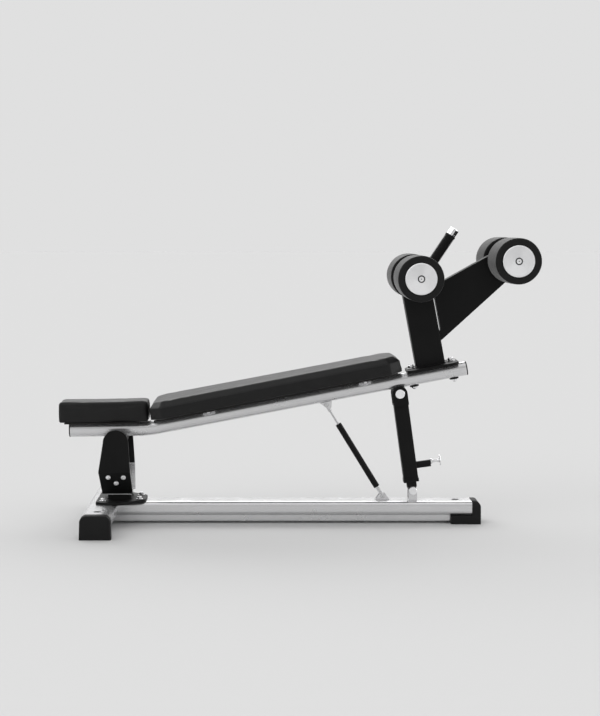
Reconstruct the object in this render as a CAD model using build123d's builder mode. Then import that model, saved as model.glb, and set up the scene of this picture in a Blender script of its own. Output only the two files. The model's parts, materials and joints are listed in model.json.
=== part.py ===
from build123d import *
from math import atan2, cos, degrees, hypot, radians, sin, tan
import os

# Adjustable abdominal bench: a floor beam on a cross foot, a rail that pivots at
# its low end, a telescoping post that sets the slope, a gas strut that carries
# the weight of the rail, two pads and two pairs of foam leg rollers.
# Millimetres, +X towards the leg rollers, +Z up, floor at Z = 0, and the bench is
# symmetric about the XZ plane except for the end of the locking pin.

os.makedirs("parts", exist_ok=True)

# ---------------------------------------------------------------- dimensions
# Cross foot and floor beam share one two-tier section.
FOOT_X = -663.0
FOOT_HALF = 335.0
SECTION_WIDTH = 100.0
SECTION_TOP = 78.0
SECTION_BOTTOM = 30.0
SECTION_RADIUS = 16.0
KEEL_WIDTH = 64.0
KEEL_BOTTOM = 10.0
SECTION_WALL = 3.0
CAP_DEPTH = 34.0
CAP_WIDTH = 105.0
CAP_HEIGHT = 80.0
CAP_DRAFT = 2.0
CAP_RADIUS = 22.0
BEAM_END = 604.0
KEEL_END = 531.0
BEAM_TIP = 634.0
ANCHOR_HOLE_Y = 243.0
ANCHOR_HOLE_RADIUS = 13.0
ANCHOR_BOLT_RADIUS = 6.5
BEAM_HOLE_X = 551.0

# Pivot bracket at the low end.
PIVOT = (-614.0, 289.0)
PLATE_THICK = 8.0
PLATE_INNER_Y = 100.0
PLATE_FOOT_Y = 48.0
PLATE_BEND_Z = 190.0
PLATE_FOOT_Z = 107.0
PLATE_LEAN = (PLATE_INNER_Y - PLATE_FOOT_Y) / (PLATE_BEND_Z - PLATE_FOOT_Z)
PLATE_TOP_RADIUS = 43.0
PLATE_EDGE = 3.0
INNER_BRACKET_THICK = 4.0
INNER_BRACKET_TOP = 192.0
BRACKET_THICK = 9.0
UPRIGHT_X = (-648.0, -566.0)
UPRIGHT_HALF = 45.0
HUB_RADIUS = 30.0
HUB_WALL = 5.0
BUSH_LENGTH = 22.0
PIVOT_PIN_RADIUS = 10.0
RUNNING_GAP = 0.1

# Rail: a flat-oval tube with one shallow bend.
RAIL_WIDTH = 56.0
RAIL_HEIGHT = 48.0
RAIL_RADIUS = 20.0
RAIL_WALL = 3.0
RAIL_BEND = (-508.0, 325.5)
RAIL_BEND_RADIUS = 350.0
HEAD_SLOPE = 0.95
RAIL_SLOPE = 10.87
HEAD_RUN = 269.0
RAIL_RUN = 1110.0
END_CAP = 4.0

# Pads, measured along and square to the rail.
HEAD_PAD_U = (-305.0, 4.0)
HEAD_PAD_WIDTH = 112.0
HEAD_PAD_H = (28.0, 102.0)
HEAD_PAD_RADIUS = 9.0
HEAD_BOARD_U = (-286.0, -32.0)
BACK_PAD_U = (20.5, 890.5)
BACK_PAD_HALF_LOW = 149.0
BACK_PAD_HALF_HIGH = 125.0
BACK_PAD_CLIP = 40.0
BACK_PAD_H = (35.0, 96.5)
BACK_PAD_CHAMFER = 20.0
BOARD_INSET = 16.0
PAD_BRACKET_U = (215.0, 761.0)
PAD_BRACKET_SIZE = (42.0, 110.0, 6.0)
PAD_BOLT_Y = 42.0

# Telescoping post between the beam and the rail.
POST_TOP = (354.7, 448.5)
POST_FOOT = (402.2, 111.3)
OUTER_TUBE = 50.0
OUTER_WALL = 2.5
OUTER_START = 31.0
INNER_TUBE = 34.0
INNER_WALL = 2.5
EAR_RADIUS = 26.0
EAR_THICK = 7.0
EAR_INNER_Y = 29.0
HEAD_PIN_RADIUS = 9.0
HEAD_PIN_CAP_RADIUS = 16.3
FOOT_PIN_RADIUS = 7.0
LOCK_HEIGHT = 84.5
LOCK_BARREL_RADIUS = 12.0
LOCK_BARREL_LENGTH = 50.0
LOCK_PIN_RADIUS = 5.0

# Gas strut.
STRUT_TOP = (104.0, 407.5)
STRUT_FOOT = (298.0, 92.5)
STRUT_CYLINDER_RADIUS = 10.5
STRUT_BORE_RADIUS = 9.5
STRUT_GLAND_RADIUS = 7.6
STRUT_CYLINDER = (36.0, 291.0)
STRUT_ROD_RADIUS = 3.7
STRUT_ROD_LENGTH = 228.0
STRUT_PIN_RADIUS = 4.0

# Roller frame, in rail coordinates: U along the rail, H square to it.
ROLLER_POST_U = 475.0
ROLLER_POST_SIZE = (100.0, 60.0)
ROLLER_POST_TOP = 366.0
BASE_PLATE_U = (390.5, 569.0)
BASE_PLATE_WIDTH = 150.0
BASE_PLATE_THICK = 9.0
BASE_BOLT_U = (409.0, 548.0)
ARM_HALF = 25.0
ARM_WALL = 4.0
KNEE_AXLE = (476.8, 341.2)
FOOT_AXLE = (800.6, 338.0)
ROLLER_RADIUS = 76.0
ROLLER_Y = (52.0, 243.0)
ROLLER_DISC_RADIUS = 52.5
ROLLER_EDGE = 5.0
ROLLER_TUBE_RADIUS = 21.0
AXLE_RADIUS = 12.5
AXLE_WALL = 3.0
HANDLE_FOOT = (409.0, 812.0)
HANDLE_LEAN = 33.5
HANDLE_LENGTH = 218.0
HANDLE_BAR_RADIUS = 12.5
GRIP_RADIUS = 18.4
GRIP_SPAN = (104.0, 213.0)
PLUG_LENGTH = 26.0


# ------------------------------------------------------------------- helpers
def side_plane(origin, angle):
    """Plane in the bench's side view, local X along a line raised by angle degrees."""
    return Plane(
        origin=(origin[0], 0, origin[1]),
        x_dir=(cos(radians(angle)), 0, sin(radians(angle))),
        z_dir=(0, -1, 0),
    )


def deck_plane(origin, angle, height):
    """Plane facing up off a line raised by angle degrees, at height square to it."""
    a = radians(angle)
    return Plane(
        origin=(origin[0] - height * sin(a), 0, origin[1] + height * cos(a)),
        x_dir=(cos(a), 0, sin(a)),
        z_dir=(-sin(a), 0, cos(a)),
    )


def axis_angle(start, end):
    return degrees(atan2(end[1] - start[1], end[0] - start[0]))


def cross_plane(start, end, distance):
    """Plane square to the line from start to end, at a distance along it."""
    length = hypot(end[0] - start[0], end[1] - start[1])
    ax = (end[0] - start[0]) / length
    az = (end[1] - start[1]) / length
    return Plane(
        origin=(start[0] + ax * distance, 0, start[1] + az * distance),
        x_dir=(az, 0, -ax),
        z_dir=(ax, 0, az),
    )


def at_rail(u, h):
    """World X and Z of a point in rail coordinates."""
    a = radians(RAIL_SLOPE)
    return (
        RAIL_ZERO[0] + u * cos(a) - h * sin(a),
        RAIL_ZERO[1] + u * sin(a) + h * cos(a),
    )


def save(part, name):
    part.label = name
    export_step(part, f"parts/{name}.step")


def section_sketch(inset):
    """Two-tier section of the foot and beam: rounded tube over a narrower keel."""
    height = SECTION_TOP - SECTION_BOTTOM
    middle = (SECTION_TOP + SECTION_BOTTOM) / 2
    keel_height = SECTION_BOTTOM - KEEL_BOTTOM
    with BuildSketch(Plane.XY) as sketch:
        with Locations((0, middle)):
            RectangleRounded(
                SECTION_WIDTH - 2 * inset, height - 2 * inset, SECTION_RADIUS - inset
            )
        with Locations((0, KEEL_BOTTOM + keel_height / 2 + SECTION_RADIUS / 2)):
            Rectangle(KEEL_WIDTH - 2 * inset, keel_height + SECTION_RADIUS - 2 * inset)
    return sketch.sketch


FOOT_END = Plane(origin=(FOOT_X, 0, 0), x_dir=(1, 0, 0), z_dir=(0, -1, 0))
BEAM_START = Plane(origin=(FOOT_X, 0, 0), x_dir=(0, 1, 0), z_dir=(1, 0, 0))
HEAD_SIDE = side_plane(RAIL_BEND, HEAD_SLOPE)
RAIL_SIDE_AT_BEND = side_plane(RAIL_BEND, RAIL_SLOPE)
# Rail coordinates are counted from the point of the rail's centre line at X = 0.
RAIL_ZERO = (0.0, RAIL_BEND[1] - RAIL_BEND[0] * tan(radians(RAIL_SLOPE)))
RAIL_SIDE = side_plane(RAIL_ZERO, RAIL_SLOPE)
RAIL_UP = Axis(RAIL_SIDE.origin, RAIL_SIDE.y_dir)
BEND_U = RAIL_BEND[0] / cos(radians(RAIL_SLOPE))
POST_LENGTH = hypot(POST_TOP[0] - POST_FOOT[0], POST_TOP[1] - POST_FOOT[1])
POST_SIDE = side_plane(POST_FOOT, axis_angle(POST_FOOT, POST_TOP) - 90)
STRUT_LENGTH = hypot(STRUT_TOP[0] - STRUT_FOOT[0], STRUT_TOP[1] - STRUT_FOOT[1])
STRUT_SIDE = side_plane(STRUT_FOOT, axis_angle(STRUT_FOOT, STRUT_TOP) - 90)


# ---------------------------------------------------------- cross foot and beam
foot_tube_half = FOOT_HALF - CAP_DEPTH
with BuildPart() as foot_tube:
    with BuildSketch(FOOT_END) as outer:
        add(section_sketch(0))
    extrude(amount=foot_tube_half, both=True)
    with BuildSketch(FOOT_END) as inner:
        add(section_sketch(SECTION_WALL))
    extrude(amount=foot_tube_half, both=True, mode=Mode.SUBTRACT)
    with BuildSketch(Plane.XY.offset(SECTION_TOP)) as anchor_holes:
        with Locations((FOOT_X, ANCHOR_HOLE_Y), (FOOT_X, -ANCHOR_HOLE_Y)):
            Circle(ANCHOR_HOLE_RADIUS)
    extrude(amount=-2 * SECTION_WALL, mode=Mode.SUBTRACT)
    with BuildSketch(Plane.XY.offset(KEEL_BOTTOM)):
        with Locations((FOOT_X, ANCHOR_HOLE_Y), (FOOT_X, -ANCHOR_HOLE_Y)):
            Circle(ANCHOR_BOLT_RADIUS)
    extrude(amount=2 * SECTION_WALL, mode=Mode.SUBTRACT)
save(foot_tube.part, "foot_tube")

# The beam's low end is coped to the side of the foot.
with BuildPart(mode=Mode.PRIVATE) as foot_envelope:
    with BuildSketch(FOOT_END):
        add(section_sketch(0))
    extrude(amount=foot_tube_half, both=True)

with BuildPart() as beam_tube:
    with BuildSketch(BEAM_START):
        add(section_sketch(0))
    extrude(amount=BEAM_END - FOOT_X)
    with BuildSketch(BEAM_START):
        add(section_sketch(SECTION_WALL))
    extrude(amount=BEAM_END - FOOT_X, mode=Mode.SUBTRACT)
    with BuildSketch(Plane.XZ):
        with Locations(((KEEL_END + BEAM_END) / 2 + 5, SECTION_BOTTOM / 2)):
            Rectangle(BEAM_END - KEEL_END + 10, SECTION_BOTTOM)
    extrude(amount=SECTION_WIDTH, both=True, mode=Mode.SUBTRACT)
    with BuildSketch(Plane.XY.offset(SECTION_TOP)):
        with Locations((BEAM_HOLE_X, 0)):
            Circle(ANCHOR_HOLE_RADIUS)
    extrude(amount=-2 * SECTION_WALL, mode=Mode.SUBTRACT)
    add(foot_envelope.part, mode=Mode.SUBTRACT)
save(beam_tube.part, "beam_tube")

def cap_outline():
    """End view of a rubber foot: drafted sides and round shoulders on a flat base."""
    top_half = CAP_WIDTH / 2 - CAP_HEIGHT * tan(radians(CAP_DRAFT))
    with BuildSketch(Plane.XY) as outline:
        with BuildLine():
            Polyline(
                (-CAP_WIDTH / 2, 0), (CAP_WIDTH / 2, 0),
                (top_half, CAP_HEIGHT), (-top_half, CAP_HEIGHT),
                close=True,
            )
        make_face()
        fillet(outline.vertices().group_by(Axis.Y)[-1], CAP_RADIUS)
    return outline.sketch


# Rubber caps close the foot's ends and stand on the floor.
for cap_name, cap_side in (("foot_cap_near", -1), ("foot_cap_far", 1)):
    cap_plane = Plane(
        origin=(FOOT_X, cap_side * foot_tube_half, 0), x_dir=(1, 0, 0), z_dir=(0, -1, 0)
    )
    with BuildPart() as foot_cap:
        with BuildSketch(cap_plane):
            add(cap_outline())
        extrude(amount=-cap_side * CAP_DEPTH)
        outer_face = foot_cap.faces().sort_by(Axis.Y)[-1 if cap_side > 0 else 0]
        fillet(outer_face.edges().filter_by(lambda e: e.center().Z > 1), 4)
    save(foot_cap.part, cap_name)

# L-shaped rubber foot under and over the high end of the beam.
with BuildPart() as beam_end_foot:
    with BuildSketch(Plane.XZ) as end_outline:
        with BuildLine():
            Polyline(
                (KEEL_END + 1, 0),
                (BEAM_TIP, 0),
                (BEAM_TIP, CAP_HEIGHT),
                (BEAM_END, CAP_HEIGHT),
                (BEAM_END, SECTION_BOTTOM),
                (KEEL_END + 1, SECTION_BOTTOM),
                close=True,
            )
        make_face()
        top_corner = end_outline.vertices().group_by(Axis.Y)[-1].sort_by(Axis.X)[-1]
        fillet(top_corner, CAP_RADIUS)
    extrude(amount=CAP_WIDTH / 2, both=True)
    with BuildSketch(Plane.YZ.offset(KEEL_END)):
        add(cap_outline())
    extrude(amount=BEAM_TIP - KEEL_END + 1, mode=Mode.INTERSECT)
save(beam_end_foot.part, "beam_end_foot")

# ------------------------------------------------------------- pivot bracket
bracket_top = SECTION_TOP + BRACKET_THICK
with BuildPart() as bracket_plate:
    with BuildSketch(Plane.XY.offset(SECTION_TOP)) as bracket_outline:
        with BuildLine():
            Polyline(
                (-683, -106), (-610, -138), (-516, -46), (-516, 46), (-610, 138), (-683, 106),
                close=True,
            )
        make_face()
        fillet(bracket_outline.vertices().group_by(Axis.X)[0], 10)
        fillet(bracket_outline.vertices().filter_by(lambda v: abs(v.Y) > 130), 45)
        fillet(bracket_outline.vertices().group_by(Axis.X)[-1], 30)
    extrude(amount=BRACKET_THICK)
    fillet(bracket_plate.faces().sort_by(Axis.Z)[-1].edges(), 1.5)
save(bracket_plate.part, "bracket_plate")

bolt_head_radius = 9.0
bolt_head_height = 7.0
with BuildPart() as bracket_bolts:
    with BuildSketch(Plane.XY.offset(bracket_top)):
        with Locations((-660, -82), (-660, 82), (-538, -44), (-538, 44)):
            Circle(bolt_head_radius + 3)
    extrude(amount=2)
    with BuildSketch(Plane.XY.offset(bracket_top + 2)):
        with Locations((-660, -82), (-660, 82), (-538, -44), (-538, 44)):
            RegularPolygon(bolt_head_radius, 6)
    extrude(amount=bolt_head_height)
save(bracket_bolts.part, "bracket_bolts")

upright_length = UPRIGHT_X[1] - UPRIGHT_X[0]
upright_middle = (UPRIGHT_X[0] + UPRIGHT_X[1]) / 2
upright_top = PLATE_FOOT_Z - INNER_BRACKET_THICK
with BuildPart() as upright:
    with BuildSketch(Plane.XY.offset(bracket_top)):
        with Locations((upright_middle, 0)):
            RectangleRounded(upright_length, 2 * UPRIGHT_HALF, 10)
            RectangleRounded(upright_length - 8, 2 * UPRIGHT_HALF - 8, 6, mode=Mode.SUBTRACT)
    extrude(amount=upright_top - bracket_top)
save(upright.part, "upright")


def plate_outline():
    """Side outline of a pivot plate: round head, widest at the bend, narrower foot."""
    with BuildSketch(Plane.XY) as outline:
        with BuildLine():
            Polyline(
                (-664, PLATE_FOOT_Z),
                (-673, PLATE_BEND_Z),
                (PIVOT[0] - PLATE_TOP_RADIUS, PIVOT[1]),
                (PIVOT[0] + PLATE_TOP_RADIUS, PIVOT[1]),
                (-560, PLATE_FOOT_Z),
                close=True,
            )
        make_face()
        with Locations(PIVOT):
            Circle(PLATE_TOP_RADIUS)
    return outline.sketch


def flared_band(inner_offset, thickness, low, high, side):
    """Front-view band that follows a pivot plate: leaning foot, upright head."""
    foot_y = PLATE_FOOT_Y + inner_offset - PLATE_LEAN * (PLATE_FOOT_Z - low)
    head_y = PLATE_INNER_Y + inner_offset
    slant = thickness * hypot(1, PLATE_LEAN)
    bend_shift = (slant - thickness) / PLATE_LEAN
    with BuildSketch(Plane.XY) as band:
        with BuildLine():
            Polyline(
                (side * foot_y, low),
                (side * head_y, PLATE_BEND_Z),
                (side * head_y, high),
                (side * (head_y + thickness), high),
                (side * (head_y + thickness), PLATE_BEND_Z - bend_shift),
                (side * (foot_y + slant), low),
                close=True,
            )
        make_face()
    return band.sketch


for plate_name, plate_side in (("side_plate_near", -1), ("side_plate_far", 1)):
    with BuildPart() as side_plate:
        with BuildSketch(Plane.YZ.offset(-700)):
            add(flared_band(0, PLATE_THICK, PLATE_FOOT_Z, 340, plate_side))
        extrude(amount=200)
        with BuildSketch(Plane.XZ.offset(-150)):
            add(plate_outline())
        extrude(amount=300, mode=Mode.INTERSECT)
        upright_face = side_plate.faces().filter_by(Axis.Y).sort_by(Axis.Y)[-1 if plate_side > 0 else 0]
        fillet(upright_face.edges().filter_by(lambda e: e.center().Z > PLATE_BEND_Z), PLATE_EDGE)
    save(side_plate.part, plate_name)

# Inner bracket: two flared arms and a base, bolted behind the pivot plates.
inner_slant = INNER_BRACKET_THICK * hypot(1, PLATE_LEAN)
with BuildPart() as inner_bracket:
    for arm_side in (-1, 1):
        with BuildSketch(Plane.YZ.offset(-700)):
            add(
                flared_band(
                    -inner_slant, INNER_BRACKET_THICK, PLATE_FOOT_Z, INNER_BRACKET_TOP, arm_side
                )
            )
        extrude(amount=200)
    with BuildSketch(Plane.XZ.offset(-150)):
        add(plate_outline())
    extrude(amount=300, mode=Mode.INTERSECT)
    with BuildSketch(Plane.XY.offset(upright_top)):
        with Locations((upright_middle, 0)):
            Rectangle(upright_length, 2 * UPRIGHT_HALF + 2)
    extrude(amount=INNER_BRACKET_THICK)
save(inner_bracket.part, "inner_bracket")

with BuildPart() as pivot_pin:
    with BuildSketch(Plane.XZ.offset(-PLATE_INNER_Y)):
        with Locations(PIVOT):
            Circle(PIVOT_PIN_RADIUS)
    extrude(amount=2 * PLATE_INNER_Y)
save(pivot_pin.part, "pivot_pin")

# Three dome screws hold each pivot plate to the inner bracket; they stand square
# to the leaning foot of the plate.
screw_places = ((-640.0, 170.5), (-588.5, 170.5), (-614.0, 148.5))
lean_angle = degrees(atan2(PLATE_LEAN, 1))
screw_radius = 8.2
screw_height = 5.0
for screws_name, screws_side in (("plate_screws_near", -1), ("plate_screws_far", 1)):
    with BuildPart() as plate_screws:
        for screw_x, screw_z in screw_places:
            inner_y = PLATE_FOOT_Y + (screw_z - PLATE_FOOT_Z) * PLATE_LEAN
            outer_y = inner_y + PLATE_THICK / cos(radians(lean_angle))
            face = Plane(
                origin=(screw_x, screws_side * outer_y, screw_z),
                x_dir=(1, 0, 0),
                z_dir=(0, screws_side * cos(radians(lean_angle)), -sin(radians(lean_angle))),
            )
            with BuildSketch(face):
                Circle(screw_radius)
            extrude(amount=screw_height)
        top_edges = plate_screws.faces().filter_by(GeomType.PLANE).sort_by(Axis.Y)
        outer_faces = top_edges[-3:] if screws_side > 0 else top_edges[:3]
        fillet([e for f in outer_faces for e in f.edges()], 1.5)
    save(plate_screws.part, screws_name)

# -------------------------------------------------- fittings on top of the beam
clevis_width = 29.0
clevis_ear = 6.0
clevis_gap = INNER_TUBE / 2 + 1.0


def clevis(foot, top, width, gap, ear, pin_radius, base):
    """U-shaped bracket with two ears about a pin; the base joins the ears."""
    outer_half = gap + ear
    with BuildPart() as bracket:
        with BuildSketch(Plane.XZ.offset(-outer_half)):
            with Locations((top[0], (foot + top[1]) / 2)):
                Rectangle(width, top[1] - foot)
            with Locations(top):
                Circle(width / 2)
                Circle(pin_radius, mode=Mode.SUBTRACT)
        extrude(amount=2 * outer_half)
        with BuildSketch(Plane.XZ.offset(-gap)):
            with Locations((top[0], foot + base + top[1])):
                Rectangle(2 * width, 2 * top[1])
        extrude(amount=2 * gap, mode=Mode.SUBTRACT)
    return bracket.part


def headed_pin(place, radius, half_length, head_radius, head_height):
    """Pin across the bench with a flat round head on each end."""
    with BuildPart() as pin:
        with BuildSketch(Plane.XZ.offset(-half_length)):
            with Locations(place):
                Circle(radius)
        extrude(amount=2 * half_length)
        for end in (-1, 1):
            with BuildSketch(Plane.XZ.offset(end * half_length)):
                with Locations(place):
                    Circle(head_radius)
            extrude(amount=end * head_height)
        rims = pin.edges().filter_by(GeomType.CIRCLE).sort_by(Axis.Y)
        chamfer([rims[0], rims[-1]], 1)
    return pin.part


post_clevis = clevis(
    SECTION_TOP, POST_FOOT, clevis_width, clevis_gap, clevis_ear, FOOT_PIN_RADIUS, 6
)
save(post_clevis, "post_clevis")
post_foot_pin = headed_pin(
    POST_FOOT, FOOT_PIN_RADIUS, clevis_gap + clevis_ear, clevis_width / 2 - 0.5, 4
)
save(post_foot_pin, "post_foot_pin")

# Triangular bracket for the foot of the gas strut.
strut_gap = 8.0
strut_ear = 5.0


def strut_bracket(plane, pin_height, base_span, tip, tip_half, base):
    """Pair of triangular ears joined by a base, about a pin above the plane."""
    with BuildPart() as bracket:
        with BuildSketch(plane) as ears:
            with BuildLine():
                Polyline(
                    (base_span[0], 0), (base_span[1], 0),
                    (tip[0] + tip_half, tip[1]), (tip[0] - tip_half, tip[1]),
                    close=True,
                )
            make_face()
            fillet(ears.vertices().group_by(Axis.Y)[-1], tip_half * 0.7)
            with Locations((0, pin_height)):
                Circle(STRUT_PIN_RADIUS, mode=Mode.SUBTRACT)
        extrude(amount=strut_gap + strut_ear, both=True)
        with BuildSketch(plane):
            with Locations((0, base + tip[1])):
                Rectangle(4 * (base_span[1] - base_span[0]), 2 * tip[1])
        extrude(amount=strut_gap, both=True, mode=Mode.SUBTRACT)
    return bracket.part


strut_foot_plane = side_plane((STRUT_FOOT[0], SECTION_TOP), 0)
strut_foot_height = STRUT_FOOT[1] - SECTION_TOP
strut_foot_bracket = strut_bracket(
    strut_foot_plane, strut_foot_height, (-25, 25), (0, strut_foot_height + 8), 9, 4
)
save(strut_foot_bracket, "strut_foot_bracket")
strut_foot_pin = headed_pin(STRUT_FOOT, STRUT_PIN_RADIUS, strut_gap + strut_ear, 7, 3)
save(strut_foot_pin, "strut_foot_pin")

# --------------------------------------------------------------------- rail
with BuildLine() as rail_route:
    FilletPolyline(
        HEAD_SIDE.from_local_coords((-HEAD_RUN, 0, 0)),
        HEAD_SIDE.from_local_coords((0, 0, 0)),
        RAIL_SIDE_AT_BEND.from_local_coords((RAIL_RUN, 0, 0)),
        radius=RAIL_BEND_RADIUS,
    )
rail_path = rail_route.line
rail_start = Plane(
    origin=rail_path @ 0, x_dir=(0, 1, 0), z_dir=rail_path % 0
)


def rail_solid(inset):
    """Rounded tube envelope swept along the bent rail."""
    with BuildPart() as solid:
        with BuildSketch(rail_start):
            RectangleRounded(
                RAIL_WIDTH - 2 * inset, RAIL_HEIGHT - 2 * inset, RAIL_RADIUS - inset
            )
        sweep(path=rail_path)
    return solid.part


rail_envelope = rail_solid(0)
with BuildPart() as rail_tube:
    add(rail_envelope)
    add(rail_solid(RAIL_WALL), mode=Mode.SUBTRACT)
save(rail_tube.part, "rail_tube")

for cap_name, cap_point, cap_direction in (
    ("rail_cap_low", rail_path @ 0, -(rail_path % 0)),
    ("rail_cap_high", rail_path @ 1, rail_path % 1),
):
    with BuildPart() as rail_cap:
        with BuildSketch(Plane(origin=cap_point, x_dir=(0, 1, 0), z_dir=cap_direction)):
            RectangleRounded(RAIL_WIDTH, RAIL_HEIGHT, RAIL_RADIUS)
        extrude(amount=END_CAP)
        outer_face = rail_cap.faces().sort_by(Axis((0, 0, 0), cap_direction))[-1]
        fillet(outer_face.edges(), 2)
    save(rail_cap.part, cap_name)

# Hub tube across the bench, coped to the rail's underside, with a bush in each end.
hub_half = PLATE_INNER_Y - 2
with BuildPart() as pivot_hub:
    with BuildSketch(Plane.XZ.offset(-hub_half)):
        with Locations(PIVOT):
            Circle(HUB_RADIUS)
            Circle(HUB_RADIUS - HUB_WALL, mode=Mode.SUBTRACT)
    extrude(amount=2 * hub_half)
    add(rail_envelope, mode=Mode.SUBTRACT)
save(pivot_hub.part, "pivot_hub")

for bush_name, bush_side in (("pivot_bush_near", -1), ("pivot_bush_far", 1)):
    with BuildPart() as pivot_bush:
        with BuildSketch(Plane.XZ.offset(-bush_side * hub_half)):
            with Locations(PIVOT):
                Circle(HUB_RADIUS - HUB_WALL)
                Circle(PIVOT_PIN_RADIUS + RUNNING_GAP, mode=Mode.SUBTRACT)
        extrude(amount=bush_side * BUSH_LENGTH)
    save(pivot_bush.part, bush_name)

# Lug under the rail for the telescoping post, between the post's ears.
lug_radius = 20.0
post_top_u = (POST_TOP[0] - RAIL_ZERO[0]) * cos(radians(RAIL_SLOPE))
post_top_u += (POST_TOP[1] - RAIL_ZERO[1]) * sin(radians(RAIL_SLOPE))
post_top_h = (POST_TOP[1] - RAIL_ZERO[1]) * cos(radians(RAIL_SLOPE))
post_top_h -= (POST_TOP[0] - RAIL_ZERO[0]) * sin(radians(RAIL_SLOPE))
with BuildPart() as post_lug:
    with BuildSketch(RAIL_SIDE):
        with Locations((post_top_u, (post_top_h - RAIL_HEIGHT / 2) / 2)):
            Rectangle(2 * lug_radius, -RAIL_HEIGHT / 2 - post_top_h)
        with Locations((post_top_u, post_top_h)):
            Circle(lug_radius)
    extrude(amount=EAR_INNER_Y - 1, both=True)
    with BuildSketch(RAIL_SIDE):
        with Locations((post_top_u, post_top_h)):
            Circle(HEAD_PIN_RADIUS + RUNNING_GAP)
    extrude(amount=EAR_INNER_Y, both=True, mode=Mode.SUBTRACT)
    add(rail_envelope, mode=Mode.SUBTRACT)
save(post_lug.part, "post_lug")

# Bracket for the head of the gas strut hangs from the rail's underside.
strut_top_u = (STRUT_TOP[0] - RAIL_ZERO[0]) * cos(radians(RAIL_SLOPE))
strut_top_u += (STRUT_TOP[1] - RAIL_ZERO[1]) * sin(radians(RAIL_SLOPE))
strut_top_h = (STRUT_TOP[1] - RAIL_ZERO[1]) * cos(radians(RAIL_SLOPE))
strut_top_h -= (STRUT_TOP[0] - RAIL_ZERO[0]) * sin(radians(RAIL_SLOPE))
strut_hang = -RAIL_HEIGHT / 2 - strut_top_h
strut_head_place = at_rail(strut_top_u, -RAIL_HEIGHT / 2)
strut_head_plane = side_plane(strut_head_place, RAIL_SLOPE + 180)
strut_head_bracket = strut_bracket(
    strut_head_plane, strut_hang, (-21, 21), (-8, strut_hang + 14), 6, 1.5
)
save(strut_head_bracket, "strut_head_bracket")
strut_head_pin = headed_pin(STRUT_TOP, STRUT_PIN_RADIUS, strut_gap + strut_ear, 7, 3)
save(strut_head_pin, "strut_head_pin")

# --------------------------------------------------------------------- pads
head_board_thick = HEAD_PAD_H[0] - RAIL_HEIGHT / 2
with BuildPart() as head_board:
    with BuildSketch(deck_plane(RAIL_BEND, HEAD_SLOPE, RAIL_HEIGHT / 2)):
        with Locations((sum(HEAD_BOARD_U) / 2, 0)):
            RectangleRounded(
                HEAD_BOARD_U[1] - HEAD_BOARD_U[0], HEAD_PAD_WIDTH - BOARD_INSET, 6
            )
    extrude(amount=head_board_thick)
save(head_board.part, "head_board")

with BuildPart() as head_pad:
    with BuildSketch(deck_plane(RAIL_BEND, HEAD_SLOPE, HEAD_PAD_H[0])):
        with Locations((sum(HEAD_PAD_U) / 2, 0)):
            RectangleRounded(HEAD_PAD_U[1] - HEAD_PAD_U[0], HEAD_PAD_WIDTH, HEAD_PAD_RADIUS)
    extrude(amount=HEAD_PAD_H[1] - HEAD_PAD_H[0])
    fillet(head_pad.faces().sort_by(Axis.Z)[-1].edges(), HEAD_PAD_RADIUS - 1)
    fillet(head_pad.faces().sort_by(Axis.Z)[0].edges(), 3)
save(head_pad.part, "head_pad")


def back_pad_outline(inset):
    """Tapered pad outline with clipped corners, drawn in rail coordinates."""
    low, high = BACK_PAD_U[0] + BEND_U + inset, BACK_PAD_U[1] + BEND_U - inset
    half_low, half_high = BACK_PAD_HALF_LOW - inset, BACK_PAD_HALF_HIGH - inset
    clip = BACK_PAD_CLIP
    taper = (half_low - half_high) / (high - low)
    near_low = half_low - taper * clip
    near_high = half_high + taper * clip
    with BuildSketch(Plane.XY) as outline:
        with BuildLine():
            Polyline(
                (low, -half_low + clip), (low + clip, -near_low),
                (high - clip, -near_high), (high, -half_high + clip),
                (high, half_high - clip), (high - clip, near_high),
                (low + clip, near_low), (low, half_low - clip),
                close=True,
            )
        make_face()
    return outline.sketch


pad_bracket_top = RAIL_HEIGHT / 2 + PAD_BRACKET_SIZE[2]
with BuildPart() as back_board:
    with BuildSketch(deck_plane(RAIL_ZERO, RAIL_SLOPE, pad_bracket_top)):
        add(back_pad_outline(BOARD_INSET))
    extrude(amount=BACK_PAD_H[0] - pad_bracket_top)
save(back_board.part, "back_board")

with BuildPart() as back_pad:
    with BuildSketch(deck_plane(RAIL_ZERO, RAIL_SLOPE, BACK_PAD_H[0])):
        add(back_pad_outline(0))
    extrude(amount=BACK_PAD_H[1] - BACK_PAD_H[0])
    chamfer(back_pad.faces().sort_by(RAIL_UP)[-1].edges(), BACK_PAD_CHAMFER)
save(back_pad.part, "back_pad")

for bracket_name, bracket_u in (
    ("pad_bracket_low", PAD_BRACKET_U[0]), ("pad_bracket_high", PAD_BRACKET_U[1])
):
    with BuildPart() as pad_bracket:
        with BuildSketch(deck_plane(RAIL_ZERO, RAIL_SLOPE, RAIL_HEIGHT / 2)):
            with Locations((BEND_U + bracket_u, 0)):
                RectangleRounded(PAD_BRACKET_SIZE[0], PAD_BRACKET_SIZE[1], 4)
        extrude(amount=PAD_BRACKET_SIZE[2])
    save(pad_bracket.part, bracket_name)

pad_bolt_places = [
    (BEND_U + bracket_u, side * PAD_BOLT_Y) for bracket_u in PAD_BRACKET_U for side in (-1, 1)
]
with BuildPart() as pad_bolts:
    with BuildSketch(deck_plane(RAIL_ZERO, RAIL_SLOPE, RAIL_HEIGHT / 2)):
        with Locations(*pad_bolt_places):
            RegularPolygon(8, 6)
    extrude(amount=-6)
save(pad_bolts.part, "pad_bolts")

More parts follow.
